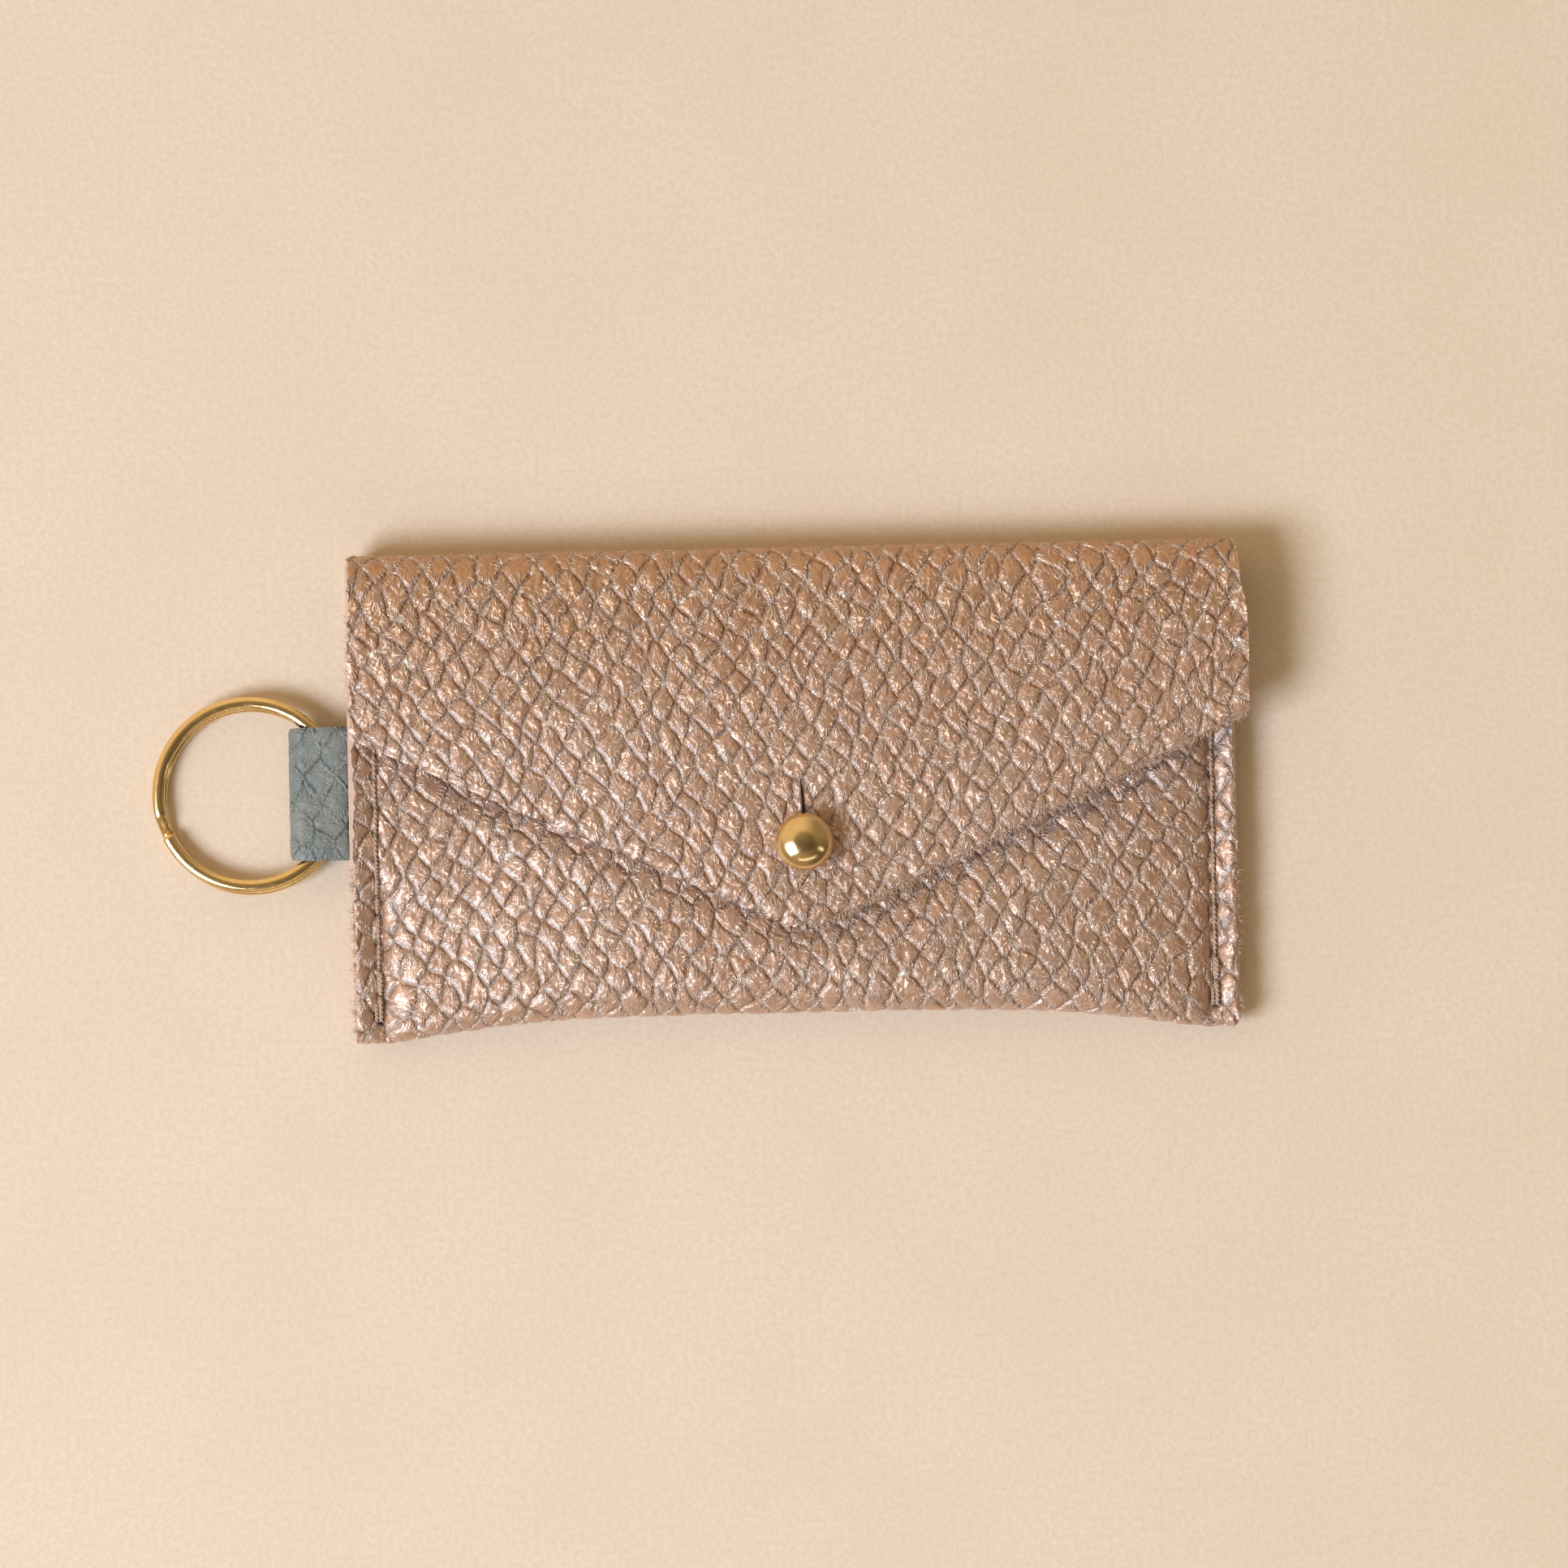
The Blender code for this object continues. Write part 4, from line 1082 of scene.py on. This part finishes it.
def make_split_ring():
    turn, height, shift = ring_turns()
    angle = RING_NOTCH + turn
    outward = np.stack([np.cos(angle), np.sin(angle), np.zeros_like(angle)], axis=-1)
    ups = np.tile((0.0, 0.0, 1.0), (len(angle), 1))
    places = outward * RING_MIDDLE + ups * height[:, None]
    places[:, :2] += shift
    # the two ends of the wire are rounded off
    from_end = np.minimum(turn - turn[0], turn[-1] - turn) * RING_MIDDLE
    near_end = np.clip(from_end / (0.45 * MM), 0.0, 1.0)
    narrow = (0.55 + 0.45 * np.sqrt(near_end * (2.0 - near_end)))[:, None]
    piece = swept("ring_wire", places, outward * narrow, ups * narrow, wire_profile(), GOLD)
    lean = Matrix.Rotation(-RING_TILT, 4, "Y")
    centre = Vector((CROWN_X, STRAP_Y, LOOP_HEIGHT)) + lean.to_3x3() @ Vector((-RING_MIDDLE, 0.0, 0.0))
    piece.data.transform(Matrix.Translation(centre) @ lean)
    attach(piece, "key_ring")
    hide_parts("split_ring")
    return piece


def turned_profile(name, profile, material, count=96):
    """A body turned about the stud's axis from (radius, height) points, the first and last on the axis."""
    angles = np.linspace(0.0, 2 * math.pi, count, endpoint=False)
    points = [(STUD_X, STUD_Y, profile[0][1])]
    for radius, height in profile[1:-1]:
        points += [(STUD_X + radius * math.cos(a), STUD_Y + radius * math.sin(a), height) for a in angles]
    points.append((STUD_X, STUD_Y, profile[-1][1]))
    last = len(points) - 1
    faces = [(0, 1 + (c + 1) % count, 1 + c) for c in range(count)]
    rings = len(profile) - 2
    faces += tube_faces(rings, count, 1, capped=False)
    top = 1 + (rings - 1) * count
    faces += [(top + c, top + (c + 1) % count, last) for c in range(count)]
    piece = plain_mesh(name, points, faces, [material])
    piece.data.shade_smooth()
    return piece


def make_stud():
    seat, flange_top = 7.8 * MM, 8.6 * MM
    flange, round_off, fillet = 3.5 * MM, 0.25 * MM, 0.3 * MM
    profile = [(0.0, seat), (flange - round_off, seat)]
    mid = (seat + flange_top) / 2
    for turn in np.linspace(-math.pi / 2, math.pi / 2, 9)[1:]:
        radius = flange - round_off + round_off * math.cos(turn)
        profile.append((radius, mid + (flange_top - mid) * math.sin(turn)))
    for turn in np.linspace(0.0, math.pi / 2, 6)[1:]:
        radius = NECK_RADIUS + fillet * (1.0 - math.sin(turn))
        profile.append((radius, flange_top + fillet * (1.0 - math.cos(turn))))
    low = math.pi - math.asin(NECK_RADIUS / KNOB_RADIUS)
    centre = NECK_TOP - KNOB_RISE * math.cos(low)
    for turn in np.linspace(low, 0.0, 40):
        profile.append((KNOB_RADIUS * math.sin(turn), centre + KNOB_RISE * math.cos(turn)))
    piece = turned_profile("ball_stud", profile, BRASS)
    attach(piece, "pouch")
    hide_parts("stud_post")
    return piece


# Stitching


def twisted_stitch():
    """One stitch of two-ply thread along +Y from 0 to 1 mm, sunk at both ends, to be repeated."""
    rows, sides = 26, 7
    share = np.linspace(0.0, 1.0, rows)
    points, faces = [], []
    for ply in range(2):
        wind = 2 * math.pi * share * PLY_TURNS + ply * math.pi
        arch = THREAD * (0.5 - 1.7 * np.abs(2 * share - 1.0) ** 3.2)
        x = THREAD_COIL * np.cos(wind)
        z = THREAD_COIL * np.sin(wind) + arch
        faces += tube_faces(rows, sides, len(points), flip=True)
        for r in range(rows):
            for k in range(sides):
                turn = 2 * math.pi * k / sides
                out, up = PLY_RADIUS * math.cos(turn), PLY_RADIUS * math.sin(turn)
                points.append((x[r] + out, share[r] * MM, z[r] + up))
    piece = plain_mesh("stitch", points, faces, [YARN])
    piece.data.shade_smooth()
    return piece


def instance_tree(name, random_turn, least, most):
    """Puts one small object on every point, sized and turned by the point's attributes."""
    net, start, end = new_group(
        name,
        "GeometryNodeTree",
        [
            ("Geometry", GEOMETRY, None),
            ("Copy", "NodeSocketObject", None),
            ("Finish", "NodeSocketMaterial", None),
            ("Seed", "NodeSocketInt", 1),
        ],
        [("Geometry", GEOMETRY)],
    )

    def random_value(kind, socket_type, seed, low, high):
        node = net.node("FunctionNodeRandomValue", {"Seed": seed}, data_type=kind)
        for label, value in (("Min", low), ("Max", high)):
            sockets = [item for item in node.inputs if (item.name, item.type) == (label, socket_type)]
            sockets[0].default_value = value
        return node

    seed = start.outputs["Seed"]
    loose = random_value("FLOAT_VECTOR", "VECTOR", seed, [-value for value in random_turn], random_turn)
    turned = net.vector("ADD", named_vector(net, "turn"), loose.outputs[0])
    grow = random_value("FLOAT", "VALUE", net.math("ADD", seed, 7.0), least, most)
    scale = net.vector("SCALE", named_vector(net, "size"), scale=grow.outputs[1])
    copy = net.node("GeometryNodeObjectInfo", {"Object": start.outputs["Copy"]}).outputs["Geometry"]
    rotation = net.node("FunctionNodeEulerToRotation", {"Euler": turned}).outputs[0]
    placed = net.node("GeometryNodeInstanceOnPoints")
    net.feed(placed, Points=start.outputs["Geometry"], Instance=copy, Rotation=rotation, Scale=scale)
    real = net.node("GeometryNodeRealizeInstances", {"Geometry": placed.outputs[0]})
    finish = net.node("GeometryNodeSetMaterial")
    net.feed(finish, Geometry=real.outputs[0], Material=start.outputs["Finish"])
    net.feed(end, Geometry=finish.outputs[0])
    return net.tree


def repeated(name, tree, points, turns, sizes, copy, finish, seed=1):
    """A mesh made by the instancing tree from points with a turn and a size each."""
    piece = plain_mesh(name, points, [])
    store(piece.data, "turn", turns)
    store(piece.data, "size", sizes)
    run_nodes(piece, tree, {"Copy": copy, "Finish": finish, "Seed": seed})
    result = evaluated(piece)
    piece.modifiers.clear()
    piece.data = result
    piece.data.shade_smooth()
    return piece


def seam_stitches(name, seam, front, node, stitch, tree):
    """The stitches of one side of a seam, with two sewn over again to lock the end."""
    holes = seam_holes(seam)
    spans = [(holes[i], holes[i + 1], 0.0, 0.0) for i in range(len(holes) - 1)]
    if front:
        spans += [(holes[i], holes[i + 1] - 0.35 * MM, 0.42 * THREAD, 0.75 * THREAD) for i in range(2)]
        spans += [(holes[0], holes[1] - 0.9 * MM, -0.75 * THREAD, 0.55 * THREAD)]
    points, turns, sizes = [], [], []
    for low, high, aside, lift in spans:
        ends = np.array([low, high])
        floor, roof = pocket_faces(np.full(2, seam), ends)
        z = roof + LEATHER if front else floor - LEATHER
        raise_by = lift if front else -lift
        points.append((seam + aside, low, z[0] + raise_by))
        slope = math.atan2(z[1] - z[0], high - low)
        turns.append((slope, 0.0, 0.0) if front else (slope, math.pi, 0.0))
        sizes.append((1.0, math.hypot(high - low, z[1] - z[0]) / MM, 1.0))
    piece = repeated(name, tree, points, turns, sizes, stitch, YARN)
    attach(piece, "pouch")
    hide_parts(node)
    return piece


def make_stitching():
    stitch = twisted_stitch()
    tree = instance_tree("sew", (0.02, 0.05, 0.025), 0.97, 1.03)
    for side, seam in (("left", -SEAM_X), ("right", SEAM_X)):
        for thread, front in (("needle", True), ("bobbin", False)):
            node = f"{side}_seam_{thread}_thread"
            seam_stitches(f"{side}_{thread}_stitches", seam, front, node, stitch, tree)
    bpy.data.objects.remove(stitch)


def bent_fibre():
    """One fibre that rises 1 mm along +Z, bends over and thins out, for Geometry Nodes to repeat."""
    rows, sides, thick = 6, 3, 0.085 * MM
    share = np.linspace(0.0, 1.0, rows)
    spine = np.stack([0.32 * share**2, 0.10 * np.sin(5.0 * share), share], axis=-1) * MM
    points = []
    for row, place in enumerate(spine):
        radius = thick * (1.0 - 0.75 * share[row])
        for side in range(sides):
            turn = 2 * math.pi * side / sides
            points.append((place[0] + radius * math.cos(turn), place[1] + radius * math.sin(turn), place[2]))
    return plain_mesh("fibre", points, tube_faces(rows, sides), [FIBRE])


def edge_fibres(name, body, node, edge, outward, count, length, seed, fray):
    """Loose fibres in tufts along a cut edge.

    edge is a line of points, outward the way they stick out, and fray the instancing tree and the fibre.
    """
    chance = np.random.default_rng(seed)
    lengths = np.concatenate([[0.0], np.cumsum(np.linalg.norm(np.diff(edge, axis=0), axis=-1))])
    tufts = chance.uniform(0.0, lengths[-1], max(1, count // 6))
    spread = chance.uniform(0.0, lengths[-1], count // 2)
    along = np.concatenate([spread, chance.choice(tufts, count - count // 2)])
    along = np.clip(along + chance.normal(0.0, 0.25 * MM, count), 0.0, lengths[-1])
    places = np.stack([np.interp(along, lengths, edge[:, axis]) for axis in range(3)], axis=-1)
    places[:, 2] += chance.uniform(-0.35, 0.25, count) * MM
    heading = math.atan2(outward[1], outward[0]) + chance.normal(0.0, 0.55, count)
    lean = chance.normal(math.radians(86.0), 0.28, count)
    turns = np.stack([np.zeros(count), lean, heading], axis=-1)
    size = length / MM * chance.uniform(0.35, 1.0, count) ** 1.5
    sizes = np.stack([np.ones(count), np.ones(count), size], axis=-1)
    tree, fibre = fray
    piece = repeated(name, tree, places, turns, sizes, fibre, FIBRE, seed)
    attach(piece, body)
    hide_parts(node)
    return piece


def make_fibres():
    fibre = bent_fibre()
    fray = instance_tree("fray", (0.1, 0.1, 0.1), 0.9, 1.1), fibre
    x = np.linspace(STUD_X + 1.5 * MM, HALF_WIDTH + FLAP_FLARE - 0.3 * MM, 60)
    edge = np.stack([x, flap_edge(x), flap_middle(x)], axis=-1)
    edge_fibres("flap_right_fray", "flap", "flap", edge, (0.5, -0.86), 900, 1.0 * MM, 11, fray)
    x = np.linspace(-HALF_WIDTH + MM, STUD_X - 2 * MM, 60)
    edge = np.stack([x, flap_edge(x), flap_middle(x) - 0.3 * MM], axis=-1)
    edge_fibres("flap_left_fray", "flap", "flap", edge, (-0.5, -0.86), 60, 0.4 * MM, 12, fray)
    y = np.linspace(HALF_HEIGHT - 8 * MM, HALF_HEIGHT - FLAP_RIGHT_DROP + MM, 20)
    side_x, side_z = HALF_WIDTH + FLAP_FLARE - 0.1 * MM, flap_middle(HALF_WIDTH)
    edge = np.stack([np.full(20, side_x), y, np.full(20, side_z)], axis=-1)
    edge_fibres("flap_side_fray", "flap", "flap", edge, (1.0, 0.0), 50, 0.8 * MM, 13, fray)
    for side, count in ((-1, 170), (1, 130)):
        for part, (low, high) in enumerate(((-29.5, -8.4), (10.2, 24.0))):
            y = np.linspace(low * MM, high * MM, 30)
            x = np.full(30, side * (HALF_WIDTH - 0.1 * MM))
            edge = np.stack([x, y, pocket_faces(x, y)[1] + LEATHER / 2], axis=-1)
            name = f"pouch_{'left' if side < 0 else 'right'}_fray_{part + 1}"
            amount, seed = int(count * ((high - low) / 43.0)), 20 + 2 * side + part
            edge_fibres(name, "pouch", "pouch_leather", edge, (side, 0.0), amount, 1.1 * MM, seed, fray)
    bpy.data.objects.remove(fibre)


place_leather()
make_key_loop()
make_split_ring()
make_stud()
make_stitching()
make_fibres()
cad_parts["stud_screw"].data.materials[0] = BRASS


# Stage, light and camera

ROOM = 3.0
WORLD_LEVEL = 0.91
VIEW_CENTRE = (-1.16 * MM, 0.95 * MM)
VIEW_WIDTH = 198.0 * MM
VIEW_DISTANCE = 1.1
VIEW_TURN = math.radians(-1.2)
CAMERA_HEIGHT = VIEW_DISTANCE + 6.0 * MM
# name, place and size in metres, power in watts and tint
LAMPS = [
    ("softbox", (-1.04, -0.546, 1.222), (0.74, 0.74), 29.8, (0.72, 0.82, 0.98)),
    ("strip", (0.9, -0.42, 0.72), (0.03, 0.5), 0.35, (1.0, 0.93, 0.82)),
    ("low_strip", (0.15, -1.0, 0.78), (1.1, 0.04), 0.75, (1.0, 0.95, 0.88)),
]


def make_stage():
    floor = plain_mesh(
        "floor",
        [(-ROOM, -ROOM, 0.0), (ROOM, -ROOM, 0.0), (ROOM, ROOM, 0.0), (-ROOM, ROOM, 0.0)],
        [(0, 1, 2, 3)],
        [paper_floor()],
    )
    bpy.context.scene.world = studio_world()


def studio_world():
    """A warm room: pale walls behind the object, darker overhead, in front and to the right."""
    world = bpy.data.worlds.new("studio")
    world.use_nodes = True
    net = Net(world.node_tree)
    x, y, z = net.split(net.node("ShaderNodeTexCoord").outputs["Generated"])
    level = net.remap(y, -0.3, 0.3, 0.45, 1.0)
    level = net.times(level, net.remap(z, 0.84, 0.93, 1.0, 0.35))
    level = net.times(level, net.remap(x, -0.1, 0.55, 1.0, 0.38))
    background = world.node_tree.nodes["Background"]
    background.inputs["Color"].default_value = (1.0, 0.78, 0.48, 1.0)
    net.set(background.inputs["Strength"], net.times(level, WORLD_LEVEL))
    return world


def area_light(name, place, size, energy, tint):
    """A lamp that points at the origin."""
    data = bpy.data.lights.new(name, "AREA")
    data.shape = "RECTANGLE"
    data.size, data.size_y = size
    data.energy = energy
    data.color = tint
    light = added(name, data)
    light.location = place
    light.rotation_euler = (-Vector(place)).to_track_quat("-Z", "Y").to_euler()


def make_camera():
    data = bpy.data.cameras.new("camera")
    data.sensor_width = 36.0
    data.lens = data.sensor_width * VIEW_DISTANCE / VIEW_WIDTH
    data.clip_start, data.clip_end = 0.05, 10.0
    camera = added("camera", data)
    camera.location = (*VIEW_CENTRE, CAMERA_HEIGHT)
    camera.rotation_euler = (0.0, 0.0, VIEW_TURN)
    bpy.context.scene.camera = camera


make_stage()
for lamp in LAMPS:
    area_light(*lamp)


make_camera()
bpy.context.scene.view_settings.view_transform = "Standard"
